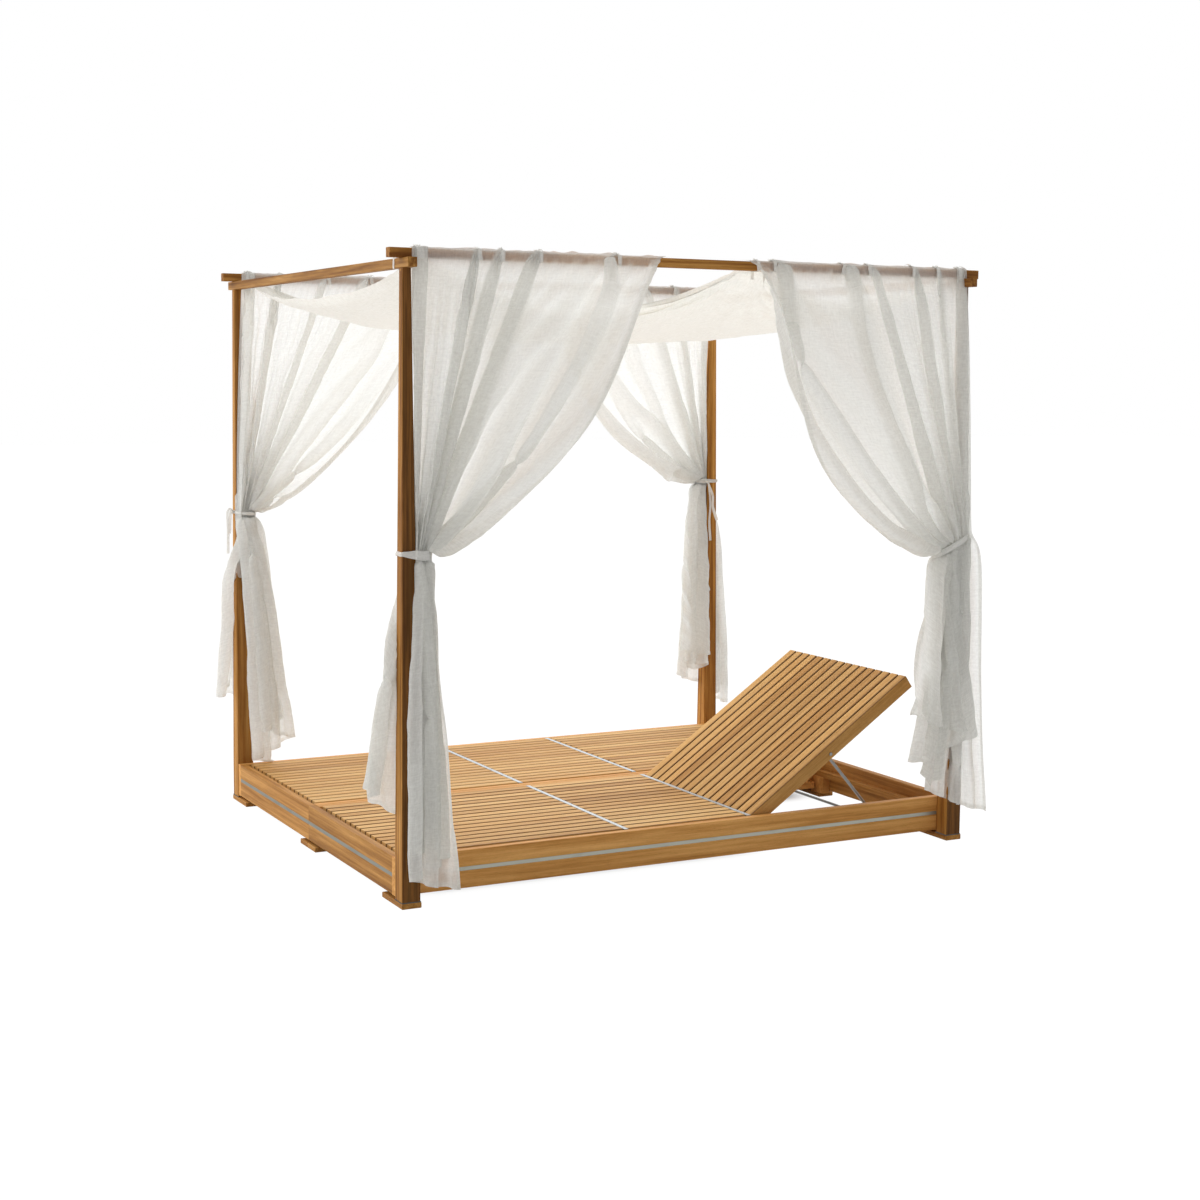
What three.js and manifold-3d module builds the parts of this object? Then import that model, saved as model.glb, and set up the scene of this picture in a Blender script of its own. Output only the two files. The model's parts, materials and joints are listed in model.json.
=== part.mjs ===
// Double outdoor daybed with a post frame, a cloth canopy and four tied-back curtains.
// Millimetres. X runs from the foot end to the head end, Y from the near bed to the far bed, Z up.
// The origin is on the floor, under the middle of the frame.
import * as THREE from 'three';
import { mergeVertices } from 'three/addons/utils/BufferGeometryUtils.js';
import Module from 'manifold-3d';

const wasm = await Module();
wasm.setup();

// Plan of the frame
const post_span = 2100; // outside to outside of the posts, along X
const module_width = 807; // one bed, over its boards
const module_gap = 1; // seam between the two beds

// Feet and posts
const foot_thickness = 17;
const foot_length = 165; // along Y, from the post in under the bed's leg
const foot_overhang = 2; // past the post, each way
const centre_foot_length = 150;
const plate_thickness = 3;
const plate_overhang = 1;
const post_foot_width = 60;
const post_top_width = 28;
const post_length = 1899;
const post_ease = 2.5; // rounding of the long edges

// Top frame
const beam_section = 29;
const long_beam_overhang = 24; // past the foot of the posts
const short_beam_overhang = 29;
const beam_ease = 2;

// Boards of the beds
const board_thickness = 28;
const board_height = 120;
const board_lift = 9; // from the foot block to the underside of the boards
const board_ease = 3;
const end_board_recess = 2; // behind the post's face
const stripe_height = 12;
const stripe_depth = 2;
const stripe_centre_height = 62; // above the underside of the board
const groove_clearance = 0.3;
const cut_overrun = 2;
const ledge_section = 22;
const leg_length = 32;
const leg_width = 70;

// Deck
const deck_rise = 2; // deck above the top of the boards
const slat_count = 16;
const slat_gap = 6;
const slat_thickness = 20;
const slat_chamfer = 1.5;
const rail_width = 28;
const rail_depth = 26;
const batten_width = 50;
const batten_depth = 20;
const foot_batten_count = 3;
const middle_batten_count = 2;
const panel_side_gap = 7;
const foot_panel_gap = 10; // between the foot board and the slat ends
const head_panel_gap = 10;
const foot_strip_distance = 815; // from the outside of the posts at the foot end
const hinge_strip_distance = 1280.5;
const strip_width = 15;
const strip_gap = 2;

// Backrest hinge and prop
const raised_angle = 34.5; // near backrest, as photographed
const top_angle = 45;
const hinge_pin_diameter = 8;
const hinge_pin_reach = 30; // into the outermost slat
const bore_clearance = 0.3;
const bore_depth = 14; // into the board beside the backrest
const prop_pin_share = 0.4776; // of the backrest, from its hinge line
const prop_pin_drop = 20; // below the hinge line
const prop_head_margin = 52; // from the folded prop to the end of the backrest, along the prop
const prop_rod_diameter = 10;
const prop_pin_diameter = 8;
const prop_eye_diameter = 12;
const pin_head_diameter = 12;
const pin_head_thickness = 3;
const pin_head_gap = 0.3;
const prop_rail_clearance = 2;
const crossbar_end_clearance = 3;
const prop_ratio = 2.2; // turn of the prop per turn of the backrest
const flat_prop_angle = 7.25; // prop below the flat backrest

// Racks that the crossbar drops into, and the rest at the head end
const rack_width = 30;
const rack_height = 26;
const rack_pitch = 45;
const rack_notch_depth = 8;
const rack_notch_width = 13;
const rack_notch_round = 3; // bevel at the bottom of a notch
const rack_end_margin = 22;
const rack_clearance = 0.5;
const rest_clearance = 0.3;

// Cloth
const cloth_thickness = 2;
const cloth_clearance = 0.3;
const curtain_beam_gap = 4; // from the short beam to the side of the curtain
const curtain_drop = 2; // top of the cloth below the top of the beam
const curtain_top_fold = 3;
const curtain_neck_fold = 9;
const curtain_hem_fold = 12;
const neck_height = 26; // length of the tied stretch
const canopy_end_gap = 18; // from the short beam to the end of the canopy
const canopy_middle_sag = 205;
const canopy_end_sag = 65;
const canopy_tie_distance = 1233; // from the outside of the posts at the foot end to the middle ties
const canopy_side_sag = 128; // of the long edges between their ties, in the longer span
const canopy_draw_in_share = 0.35; // of that sag

// Numbers of steps and faces
const curtain_folds = 6;
const ease_steps = 2;
const rod_sides = 10;
const bore_sides = 8;
const fold_steps = 4; // columns of cloth per fold
const drape_rows = 8;
const tail_rows = 7;
const canopy_columns = 17;
const canopy_rows = 16;

// Places that follow from the sizes above
const x_post_out = post_span / 2;
const x_post = x_post_out - post_foot_width / 2;
const y_seam = module_gap / 2;
const y_board_out = y_seam + module_width;
const y_module = y_seam + module_width / 2;
const y_post_out = y_board_out + post_foot_width;
const y_post = y_post_out - post_foot_width / 2;
const z_post = foot_thickness + plate_thickness;
const z_board = foot_thickness + board_lift;
const z_board_top = z_board + board_height;
const z_deck = z_board_top + deck_rise;
const z_slat = z_deck - slat_thickness;
const z_rail = z_slat - rail_depth;
const z_ledge = z_rail - ledge_section;
const z_short_beam = z_post + post_length;
const z_long_beam = z_short_beam + beam_section;
const z_top = z_long_beam + beam_section;
const x_end_board_out = x_post_out - end_board_recess;
const x_end_board_in = x_end_board_out - board_thickness;
const module_inside = module_width - 2 * board_thickness;
const panel_width = module_inside - 2 * panel_side_gap;
const slat_width = (panel_width - (slat_count - 1) * slat_gap) / slat_count;
const foot_strip_x = foot_strip_distance - x_post_out;
const hinge_strip_x = hinge_strip_distance - x_post_out;
const nose_radius = slat_thickness / 2;
const hinge_x = hinge_strip_x + strip_width / 2 + strip_gap + nose_radius;
const hinge_z = z_deck - nose_radius;
const x_backrest_end = x_end_board_in - head_panel_gap;
const backrest_length = x_backrest_end - hinge_x;
const prop_pin_distance = prop_pin_share * backrest_length;
const prop_length = backrest_length - prop_pin_distance - prop_head_margin; // pin to crossbar
const hinge_bore_radius = boreRadius(hinge_pin_diameter);
const prop_bore_radius = boreRadius(prop_pin_diameter);
const prop_y = panel_width / 2 - rail_width - prop_rail_clearance - prop_rod_diameter / 2;

const teak = { color: '#b57a3c', roughness: 0.62, metalness: 0 };
const steel = { color: '#a9aaa6', roughness: 0.34, metalness: 1 };
const curtain_linen = { color: '#f1ede4', roughness: 0.9, metalness: 0 };
const canopy_linen = { color: '#f3e9d8', roughness: 0.9, metalness: 0 };

const daybed = new THREE.Group();

// Adds one named piece to the daybed, or to a group that is turned inside it
function place(name, geometry, finish, parent = daybed) {
  const mesh = new THREE.Mesh(geometry, new THREE.MeshStandardMaterial(finish));
  mesh.name = name;
  parent.add(mesh);
  return mesh;
}

function placeWood(name, geometry, parent) {
  return place(name, geometry, teak, parent);
}

function placeSteel(name, geometry, parent) {
  return place(name, geometry, steel, parent);
}

// A bore with flat sides clears its rod by the clearance at the middle of each side
function boreRadius(diameter) {
  return (diameter / 2 + bore_clearance) / Math.cos(Math.PI / bore_sides);
}

// Booleans
function solid(geometry) {
  const bare = geometry.clone();
  bare.deleteAttribute('normal');
  bare.deleteAttribute('uv');
  const merged = mergeVertices(bare);
  const mesh = new wasm.Mesh({
    numProp: 3,
    vertProperties: new Float32Array(merged.attributes.position.array),
    triVerts: new Uint32Array(merged.index.array),
  });
  return new wasm.Manifold(mesh);
}

function toGeometry(manifold) {
  const mesh = manifold.getMesh();
  const geometry = new THREE.BufferGeometry();
  geometry.setAttribute('position', new THREE.BufferAttribute(mesh.vertProperties, 3));
  geometry.setIndex(new THREE.BufferAttribute(mesh.triVerts, 1));
  return geometry;
}

function join(geometries) {
  return geometries.map(solid).reduce((all, next) => all.add(next));
}

// Turns an extrusion made along Z so that it runs along X, Y or Z
const run_bases = {
  x: [new THREE.Vector3(0, 1, 0), new THREE.Vector3(0, 0, 1), new THREE.Vector3(1, 0, 0)],
  y: [new THREE.Vector3(0, 0, 1), new THREE.Vector3(1, 0, 0), new THREE.Vector3(0, 1, 0)],
  z: [new THREE.Vector3(1, 0, 0), new THREE.Vector3(0, 1, 0), new THREE.Vector3(0, 0, 1)],
};

function turnTo(run, geometry) {
  return geometry.applyMatrix4(new THREE.Matrix4().makeBasis(...run_bases[run]));
}

function roundedOutline(low, high, ease) {
  const outline = new THREE.Shape();
  const quarter = Math.PI / 2;
  outline.absarc(high[0] - ease, low[1] + ease, ease, -quarter, 0, false);
  outline.absarc(high[0] - ease, high[1] - ease, ease, 0, quarter, false);
  outline.absarc(low[0] + ease, high[1] - ease, ease, quarter, 2 * quarter, false);
  outline.absarc(low[0] + ease, low[1] + ease, ease, 2 * quarter, 3 * quarter, false);
  return outline;
}

function extrude(outline, length) {
  return new THREE.ExtrudeGeometry(outline, {
    depth: length,
    bevelEnabled: false,
    curveSegments: ease_steps,
  });
}

// A straight member between two corners, with its long edges eased; run names its grain direction
function member(run, x, y, z, ease) {
  const order = { x: [y, z, x], y: [z, x, y], z: [x, y, z] }[run];
  const [across, up, along] = order.map((pair) => [Math.min(...pair), Math.max(...pair)]);
  const outline = roundedOutline([across[0], up[0]], [across[1], up[1]], ease);
  const geometry = extrude(outline, along[1] - along[0]);
  geometry.translate(0, 0, along[0]);
  return turnTo(run, geometry);
}

function box(x, y, z) {
  const size = [x, y, z].map((pair) => Math.abs(pair[1] - pair[0]));
  const geometry = new THREE.BoxGeometry(...size);
  geometry.translate((x[0] + x[1]) / 2, (y[0] + y[1]) / 2, (z[0] + z[1]) / 2);
  return geometry;
}

// A rod along Y
function rodAcross(radius, y, x, z, sides) {
  const geometry = new THREE.CylinderGeometry(radius, radius, Math.abs(y[1] - y[0]), sides);
  geometry.rotateY(Math.PI / sides);
  geometry.translate(x, (y[0] + y[1]) / 2, z);
  return geometry;
}

// Posts: square to the height of the deck, then tapering to the top frame
function postGeometry() {
  const levels = [
    [z_post, post_foot_width],
    [z_deck, post_foot_width],
    [z_short_beam, post_top_width],
  ];
  const corner_steps = ease_steps + 1;
  const ring_size = 4 * corner_steps;
  const points = [];
  for (const [z, width] of levels) {
    const reach = width / 2 - post_ease;
    for (let corner = 0; corner < 4; corner += 1) {
      const middle = Math.PI / 4 + (corner * Math.PI) / 2;
      for (let step = 0; step < corner_steps; step += 1) {
        const angle = middle + (step / ease_steps - 1 / 2) * (Math.PI / 2);
        const x = Math.sign(Math.cos(middle)) * reach + post_ease * Math.cos(angle);
        const y = Math.sign(Math.sin(middle)) * reach + post_ease * Math.sin(angle);
        points.push(x, y, z);
      }
    }
  }
  const faces = [];
  for (let level = 0; level < levels.length - 1; level += 1) {
    for (let i = 0; i < ring_size; i += 1) {
      const a = level * ring_size + i;
      const b = level * ring_size + ((i + 1) % ring_size);
      faces.push(a, b, b + ring_size, a, b + ring_size, a + ring_size);
    }
  }
  const top = (levels.length - 1) * ring_size;
  for (let i = 1; i < ring_size - 1; i += 1) {
    faces.push(0, i + 1, i, top, top + i, top + i + 1);
  }
  return indexed(points, faces);
}

function indexed(points, faces) {
  const geometry = new THREE.BufferGeometry();
  geometry.setAttribute('position', new THREE.Float32BufferAttribute(points, 3));
  geometry.setIndex(faces);
  return geometry;
}

function makePost(name, end, side) {
  placeWood(`${name}_post`, postGeometry()).position.set(end * x_post, side * y_post, 0);
  const half = post_foot_width / 2 + plate_overhang;
  const plate = box([-half, half], [-half, half], [foot_thickness, z_post]);
  placeSteel(`${name}_post_plate`, plate).position.set(end * x_post, side * y_post, 0);
  const x_out = x_post_out + foot_overhang;
  const x_in = x_post_out - post_foot_width - foot_overhang;
  const y_out = y_post_out + foot_overhang;
  const foot = member('y', [end * x_in, end * x_out], [side * y_out, side * (y_out - foot_length)],
    [0, foot_thickness], post_ease);
  placeWood(`${name}_foot`, foot);
}

function makeCentreFoot(name, end) {
  const x_out = x_post_out + foot_overhang;
  const x_in = x_post_out - post_foot_width - foot_overhang;
  const half = centre_foot_length / 2;
  const foot = member('y', [end * x_in, end * x_out], [-half, half], [0, foot_thickness], post_ease);
  placeWood(`${name}_centre_foot`, foot);
}

// Top frame: short beams on the posts, long beams lapped over them
function makeTopFrame() {
  const half = beam_section / 2;
  const y_end = y_post_out + short_beam_overhang;
  const x_end = x_post_out + long_beam_overhang;
  for (const [name, end] of [['foot', -1], ['head', 1]]) {
    const x = [end * x_post - half, end * x_post + half];
    const z = [z_short_beam, z_long_beam];
    placeWood(`${name}_cross_beam`, member('y', x, [-y_end, y_end], z, beam_ease));
  }
  for (const [name, side] of [['near', -1], ['far', 1]]) {
    const y = [side * y_post - half, side * y_post + half];
    placeWood(`${name}_long_beam`, member('x', [-x_end, x_end], y, [z_long_beam, z_top], beam_ease));
  }
}

// Boards: the steel stripe lies in a groove along the middle of each outer face
const z_stripe = z_board + stripe_centre_height;
const groove_span = [
  z_stripe - stripe_height / 2 - groove_clearance,
  z_stripe + stripe_height / 2 + groove_clearance,
];
const stripe_span = [z_stripe - stripe_height / 2, z_stripe + stripe_height / 2];

function makeEndBoard(name, end, side) {
  const y = [side * y_seam, side * (y_board_out - board_thickness)];
  const board = solid(member('y', [end * x_end_board_in, end * x_end_board_out], y,
    [z_board, z_board_top], board_ease));
  const x_groove = [end * (x_end_board_out - stripe_depth), end * (x_end_board_out + cut_overrun)];
  const past = [y[0] - side * cut_overrun, y[1] + side * cut_overrun];
  const grooved = board.subtract(solid(box(x_groove, past, groove_span)));
  placeWood(`${name}_end_board`, toGeometry(grooved));
  const stripe = box([end * (x_end_board_out - stripe_depth), end * x_end_board_out], y, stripe_span);
  placeSteel(`${name}_end_stripe`, stripe);
}

// A long board with the ledge that carries the deck, and a leg block at each end. x_end is how far it runs
// each way.
function longBoard(y_out, y_in, inward, x_end) {
  const x = x_end_board_in;
  const board = solid(member('x', [-x_end, x_end], [y_out, y_in], [z_board, z_board_top], board_ease));
  const y_let_in = y_in - inward * board_ease;
  const ledge = box([-x, hinge_strip_x + strip_width / 2], [y_let_in, y_in + inward * ledge_section],
    [z_ledge, z_rail]);
  let joined = board.add(solid(ledge));
  for (const end of [-1, 1]) {
    const leg = box([end * (x - leg_length), end * x], [y_let_in, y_in + inward * leg_width],
      [foot_thickness, z_ledge]);
    joined = joined.add(solid(leg));
  }
  const bore = rodAcross(hinge_bore_radius, [y_in - inward * bore_depth, y_in + inward * bore_depth],
    hinge_x, hinge_z, bore_sides);
  return joined.subtract(solid(bore));
}

// The side board runs past the end boards, which butt against it
function makeSideBoard(name, side) {
  const y_in = side * (y_board_out - board_thickness);
  const board = longBoard(side * y_board_out, y_in, -side, x_end_board_out);
  const y_groove = [side * (y_board_out - stripe_depth), side * (y_board_out + cut_overrun)];
  const x_past = x_end_board_out + cut_overrun;
  const grooved = board.subtract(solid(box([-x_past, x_past], y_groove, groove_span)));
  placeWood(`${name}_side_board`, toGeometry(grooved));
  const stripe = box([-x_end_board_out, x_end_board_out],
    [side * (y_board_out - stripe_depth), side * y_board_out], stripe_span);
  placeSteel(`${name}_side_stripe`, stripe);
}

// The centre rail ends at the end boards, which meet at the seam
function makeCentreRail(name, side) {
  const y_in = side * (y_seam + board_thickness);
  const rail = longBoard(side * y_seam, y_in, side, x_end_board_in);
  placeWood(`${name}_centre_rail`, toGeometry(rail));
}

// Deck panels: slats along X on two side rails and some battens
function slatOutline(middle) {
  const half = slat_width / 2;
  const outline = new THREE.Shape();
  outline.moveTo(middle - half, z_slat);
  outline.lineTo(middle + half, z_slat);
  outline.lineTo(middle + half, z_deck - slat_chamfer);
  outline.lineTo(middle + half - slat_chamfer, z_deck);
  outline.lineTo(middle - half + slat_chamfer, z_deck);
  outline.lineTo(middle - half, z_deck - slat_chamfer);
  return outline;
}

function slatMiddle(index) {
  return (index - (slat_count - 1) / 2) * (slat_width + slat_gap);
}

function slatPanel(x, batten_starts) {
  const pieces = [];
  for (let i = 0; i < slat_count; i += 1) {
    const slat = extrude(slatOutline(slatMiddle(i)), x[1] - x[0]);
    slat.translate(0, 0, x[0]);
    pieces.push(turnTo('x', slat));
  }
  const half = panel_width / 2;
  for (const side of [-1, 1]) {
    const y = [side * half, side * (half - rail_width)];
    pieces.push(box([x[0] + nose_radius, x[1]], y, [z_rail, z_slat]));
  }
  const inside = half - rail_width / 2;
  for (const start of batten_starts) {
    pieces.push(box([start, start + batten_width], [-inside, inside], [z_slat - batten_depth, z_slat]));
  }
  return join(pieces);
}

function evenBattens(x, count) {
  const free = x[1] - x[0] - 2 * nose_radius - batten_width;
  return Array.from({ length: count }, (_, i) => x[0] + nose_radius + (free * i) / (count - 1));
}

function makeFixedPanels(name, side) {
  const foot = [foot_panel_gap - x_end_board_in, foot_strip_x - strip_width / 2 - strip_gap];
  const middle = [foot_strip_x + strip_width / 2 + strip_gap, hinge_strip_x - strip_width / 2 - strip_gap];
  const foot_panel = toGeometry(slatPanel(foot, evenBattens(foot, foot_batten_count)));
  placeWood(`${name}_foot_panel`, foot_panel).position.y = side * y_module;
  const middle_panel = toGeometry(slatPanel(middle, evenBattens(middle, middle_batten_count)));
  placeWood(`${name}_middle_panel`, middle_panel).position.y = side * y_module;
  for (const [strip, x] of [['deck_strip', foot_strip_x], ['hinge_strip', hinge_strip_x]]) {
    const bar = box([x - strip_width / 2, x + strip_width / 2], [-module_inside / 2, module_inside / 2],
      [z_rail, z_deck]);
    placeSteel(`${name}_${strip}`, bar).position.y = side * y_module;
  }
}

// The backrest is made flat, with its slat ends rounded about the hinge line
function backrestGeometry() {
  const x = [hinge_x, x_backrest_end];
  const pin_x = hinge_x + prop_pin_distance;
  const before_pin = pin_x - 2 * prop_rod_diameter - batten_width;
  let panel = slatPanel(x, [hinge_x + nose_radius, before_pin, x[1] - batten_width]);
  for (let i = 0; i < slat_count; i += 1) {
    const y = [slatMiddle(i) - slat_width / 2, slatMiddle(i) + slat_width / 2];
    panel = panel.add(solid(rodAcross(nose_radius, y, hinge_x, hinge_z, bore_sides)));
  }
  const half = panel_width / 2;
  for (const side of [-1, 1]) {
    const hinge_bore = [side * (half - hinge_pin_reach - bore_clearance), side * (half + panel_side_gap)];
    panel = panel.subtract(solid(rodAcross(hinge_bore_radius, hinge_bore, hinge_x, hinge_z, bore_sides)));
    const prop_bore = [side * (half - rail_width - prop_rail_clearance), side * (half + panel_side_gap)];
    panel = panel.subtract(solid(rodAcross(prop_bore_radius, prop_bore, pin_x, hinge_z - prop_pin_drop,
      bore_sides)));
  }
  return toGeometry(panel);
}

// The prop is made about its pin, hanging straight down
function propGeometry() {
  const pieces = [];
  const crossbar_half = module_inside / 2 - crossbar_end_clearance;
  const rod_radius = prop_rod_diameter / 2;
  pieces.push(rodAcross(rod_radius, [-crossbar_half, crossbar_half], 0, -prop_length, rod_sides));
  for (const side of [-1, 1]) {
    const rod = new THREE.CylinderGeometry(rod_radius, rod_radius, prop_length, rod_sides);
    rod.rotateX(Math.PI / 2);
    rod.translate(0, side * prop_y, -prop_length / 2);
    pieces.push(rod);
    const y_head = panel_width / 2 + pin_head_gap;
    const pin = [side * prop_y, side * (y_head + pin_head_thickness)];
    pieces.push(rodAcross(prop_pin_diameter / 2, pin, 0, 0, rod_sides));
    const head = [side * y_head, side * (y_head + pin_head_thickness)];
    pieces.push(rodAcross(pin_head_diameter / 2, head, 0, 0, rod_sides));
    const y_eye = [side * (prop_y - rod_radius), side * (prop_y + rod_radius)];
    pieces.push(rodAcross(prop_eye_diameter / 2, y_eye, 0, 0, rod_sides));
  }
  return toGeometry(join(pieces));
}

function makeBackrest(name, side, degrees) {
  const hinge = new THREE.Group();
  hinge.position.set(hinge_x, side * y_module, hinge_z);
  hinge.rotation.y = -THREE.MathUtils.degToRad(degrees);
  daybed.add(hinge);
  const backrest = placeWood(`${name}_backrest`, backrestGeometry(), hinge);
  backrest.position.set(-hinge_x, 0, -hinge_z);
  const prop = placeSteel(`${name}_prop`, propGeometry(), hinge);
  prop.position.set(prop_pin_distance, 0, -prop_pin_drop);
  const below = flat_prop_angle + prop_ratio * degrees;
  prop.rotation.y = THREE.MathUtils.degToRad(below) - Math.PI / 2;
}

function makeHingePins(name, side) {
  const y_in = panel_width / 2 - hinge_pin_reach;
  const y_out = module_inside / 2 + bore_depth - bore_clearance;
  for (const [edge, wall] of [['outer', side], ['inner', -side]]) {
    const pin = rodAcross(hinge_pin_diameter / 2, [wall * y_in, wall * y_out], hinge_x, hinge_z, rod_sides);
    placeSteel(`${name}_${edge}_hinge_pin`, pin).position.y = side * y_module;
  }
}

// Where the prop's crossbar is when the backrest stands at an angle
function crossbarAt(degrees) {
  const lean = THREE.MathUtils.degToRad(degrees);
  const down = THREE.MathUtils.degToRad(flat_prop_angle + (prop_ratio - 1) * degrees);
  const x = hinge_x + prop_pin_distance * Math.cos(lean) + prop_pin_drop * Math.sin(lean);
  const z = hinge_z + prop_pin_distance * Math.sin(lean) - prop_pin_drop * Math.cos(lean);
  return { x: x + prop_length * Math.cos(down), z: z - prop_length * Math.sin(down) };
}

function lowestCrossbar() {
  const heights = Array.from({ length: top_angle + 1 }, (_, degrees) => crossbarAt(degrees).z);
  return Math.min(...heights);
}

// A rack is a batten with square notches, one of them under the crossbar as photographed
function rackOutline() {
  const top = lowestCrossbar() - prop_rod_diameter / 2 - rack_clearance;
  const start = crossbarAt(top_angle).x - rack_end_margin;
  const end = crossbarAt(0).x + rack_end_margin;
  const notch = crossbarAt(raised_angle).x;
  const outline = new THREE.Shape();
  outline.moveTo(start, top - rack_height);
  outline.lineTo(end, top - rack_height);
  outline.lineTo(end, top);
  const half = rack_notch_width / 2;
  const bottom = top - rack_notch_depth;
  const first = Math.floor((end - half - notch) / rack_pitch);
  const last = Math.ceil((start + half - notch) / rack_pitch);
  for (let i = first; i >= last; i -= 1) {
    const middle = notch + i * rack_pitch;
    outline.lineTo(middle + half, top);
    outline.lineTo(middle + half, bottom + rack_notch_round);
    outline.lineTo(middle + half - rack_notch_round, bottom);
    outline.lineTo(middle - half + rack_notch_round, bottom);
    outline.lineTo(middle - half, bottom + rack_notch_round);
    outline.lineTo(middle - half, top);
  }
  outline.lineTo(start, top);
  return outline;
}

// Extrudes an outline drawn in X and Z across the bed
function acrossBed(outline, y_start, width) {
  const geometry = extrude(outline, width);
  geometry.rotateX(Math.PI / 2);
  geometry.translate(0, y_start + width, 0);
  return geometry;
}

function makeRacks(name, side) {
  const reach = module_inside / 2;
  for (const [edge, wall] of [['outer', side], ['inner', -side]]) {
    const y_start = wall > 0 ? reach - rack_width : -reach;
    const rack = acrossBed(rackOutline(), y_start, rack_width);
    placeWood(`${name}_${edge}_rack`, rack).position.y = side * y_module;
  }
}

function makeHeadRest(name, side) {
  const x = [x_end_board_in - board_thickness, x_end_board_in];
  const rest = box(x, [-module_inside / 2, module_inside / 2], [z_ledge, z_rail - rest_clearance]);
  placeWood(`${name}_head_ledger`, rest).position.y = side * y_module;
}

// A closed sheet of cloth: a grid of points, made thick along one direction. A point is given by its
// column and row as shares of the sheet.
function sheetSolid(columns, rows, point, direction) {
  const points = [];
  for (const face of [1, -1]) {
    for (let row = 0; row <= rows; row += 1) {
      for (let column = 0; column <= columns; column += 1) {
        const p = point(column / columns, row / rows);
        p.addScaledVector(direction, (face * cloth_thickness) / 2);
        points.push(p.x, p.y, p.z);
      }
    }
  }
  const width = columns + 1;
  const back = width * (rows + 1);
  const faces = [];
  const quad = (a, b, c, d) => faces.push(a, b, c, a, c, d);
  for (let row = 0; row < rows; row += 1) {
    for (let column = 0; column < columns; column += 1) {
      const a = row * width + column;
      quad(a, a + width, a + width + 1, a + 1);
      quad(back + a, back + a + 1, back + a + width + 1, back + a + width);
    }
  }
  for (let column = 0; column < columns; column += 1) {
    const bottom = rows * width + column;
    quad(column, column + 1, back + column + 1, back + column);
    quad(bottom + 1, bottom, back + bottom, back + bottom + 1);
  }
  for (let row = 0; row < rows; row += 1) {
    const left = row * width;
    const right = left + columns;
    quad(left + width, left, back + left, back + left + width);
    quad(right, right + width, back + right + width, back + right);
  }
  return indexed(points, faces);
}

// Curtains, measured from the middle of their post towards the middle of the bed. Spread is a share
// of the way there, necks and tails are shares of the post's width, and heights of the long beam's.
const curtain_shares = [
  { name: 'near_foot', end: -1, side: -1, spread: 0.843, bend: 1.7, neck_z: 0.5565,
    neck: [0.05, 1.03], tail: [-0.13, 2.2], hem: [0.049, 0.032] },
  { name: 'near_head', end: 1, side: -1, spread: 0.816, bend: 2.9, neck_z: 0.534,
    neck: [0.17, 1.53], tail: [-0.77, 3.77], hem: [0.047, 0.098] },
  { name: 'far_foot', end: -1, side: 1, spread: 0.839, bend: 1.8, neck_z: 0.568,
    neck: [-0.1, 0.87], tail: [-0.77, 2.5], hem: [0.123, 0.073] },
  { name: 'far_head', end: 1, side: 1, spread: 0.82, bend: 2.3, neck_z: 0.605,
    neck: [0, 0.97], tail: [-0.77, 2.93], hem: [0.111, 0.154] },
];

function mix(from, to, share) {
  return from + (to - from) * share;
}

// Half width of a post at a height
function postHalf(z) {
  const up_share = Math.max(0, (z - z_deck) / (z_short_beam - z_deck));
  return mix(post_foot_width, post_top_width, up_share) / 2;
}

// Above its neck a curtain spreads out along the beam: place, height, fold depth and seat
function drapePoint(curtain, u, up) {
  const neck_z = curtain.neck_z * z_long_beam;
  const risen = up ** curtain.bend;
  const z = mix(neck_z, z_top - curtain_drop, risen);
  const start = mix(curtain.neck[0] * post_foot_width, beam_section / 2 + curtain_beam_gap, up);
  const end = mix(curtain.neck[1] * post_foot_width, curtain.spread * x_post, up);
  const seat = mix(postHalf(neck_z), beam_section / 2, risen);
  return { x: mix(start, end, u), z, fold: mix(curtain_neck_fold, curtain_top_fold, risen), seat };
}

// Below its neck it hangs beside the post as a tail
function tailPoint(curtain, u, down) {
  const opened = Math.sqrt(down);
  const start = mix(curtain.neck[0], curtain.tail[0], opened) * post_foot_width;
  const end = mix(curtain.neck[1], curtain.tail[1], opened) * post_foot_width;
  const hem_z = mix(curtain.hem[0], curtain.hem[1], u) * z_long_beam;
  const z = mix(curtain.neck_z * z_long_beam - neck_height, hem_z, down);
  const fold = mix(curtain_neck_fold, curtain_hem_fold, down);
  return { x: mix(start, end, u), z, fold, seat: postHalf(z) };
}

function makeCurtain(curtain) {
  const rows = drape_rows + 1 + tail_rows;
  const outward = new THREE.Vector3(0, curtain.side, 0);
  const flip = curtain.end * curtain.side > 0;
  const point = (column_share, row_share) => {
    const u = flip ? column_share : 1 - column_share;
    const row = Math.round(row_share * rows);
    const at = row <= drape_rows
      ? drapePoint(curtain, u, 1 - row / drape_rows)
      : tailPoint(curtain, u, (row - drape_rows - 1) / tail_rows);
    const wave = at.fold * (1 + Math.cos(2 * Math.PI * curtain_folds * u));
    const y = y_post + at.seat + cloth_clearance + cloth_thickness / 2 + wave;
    return new THREE.Vector3(curtain.end * (x_post - at.x), curtain.side * y, at.z);
  };
  const cloth = sheetSolid(curtain_folds * fold_steps, rows, point, outward);
  place(`${curtain.name}_curtain`, cloth, curtain_linen);
}

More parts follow.
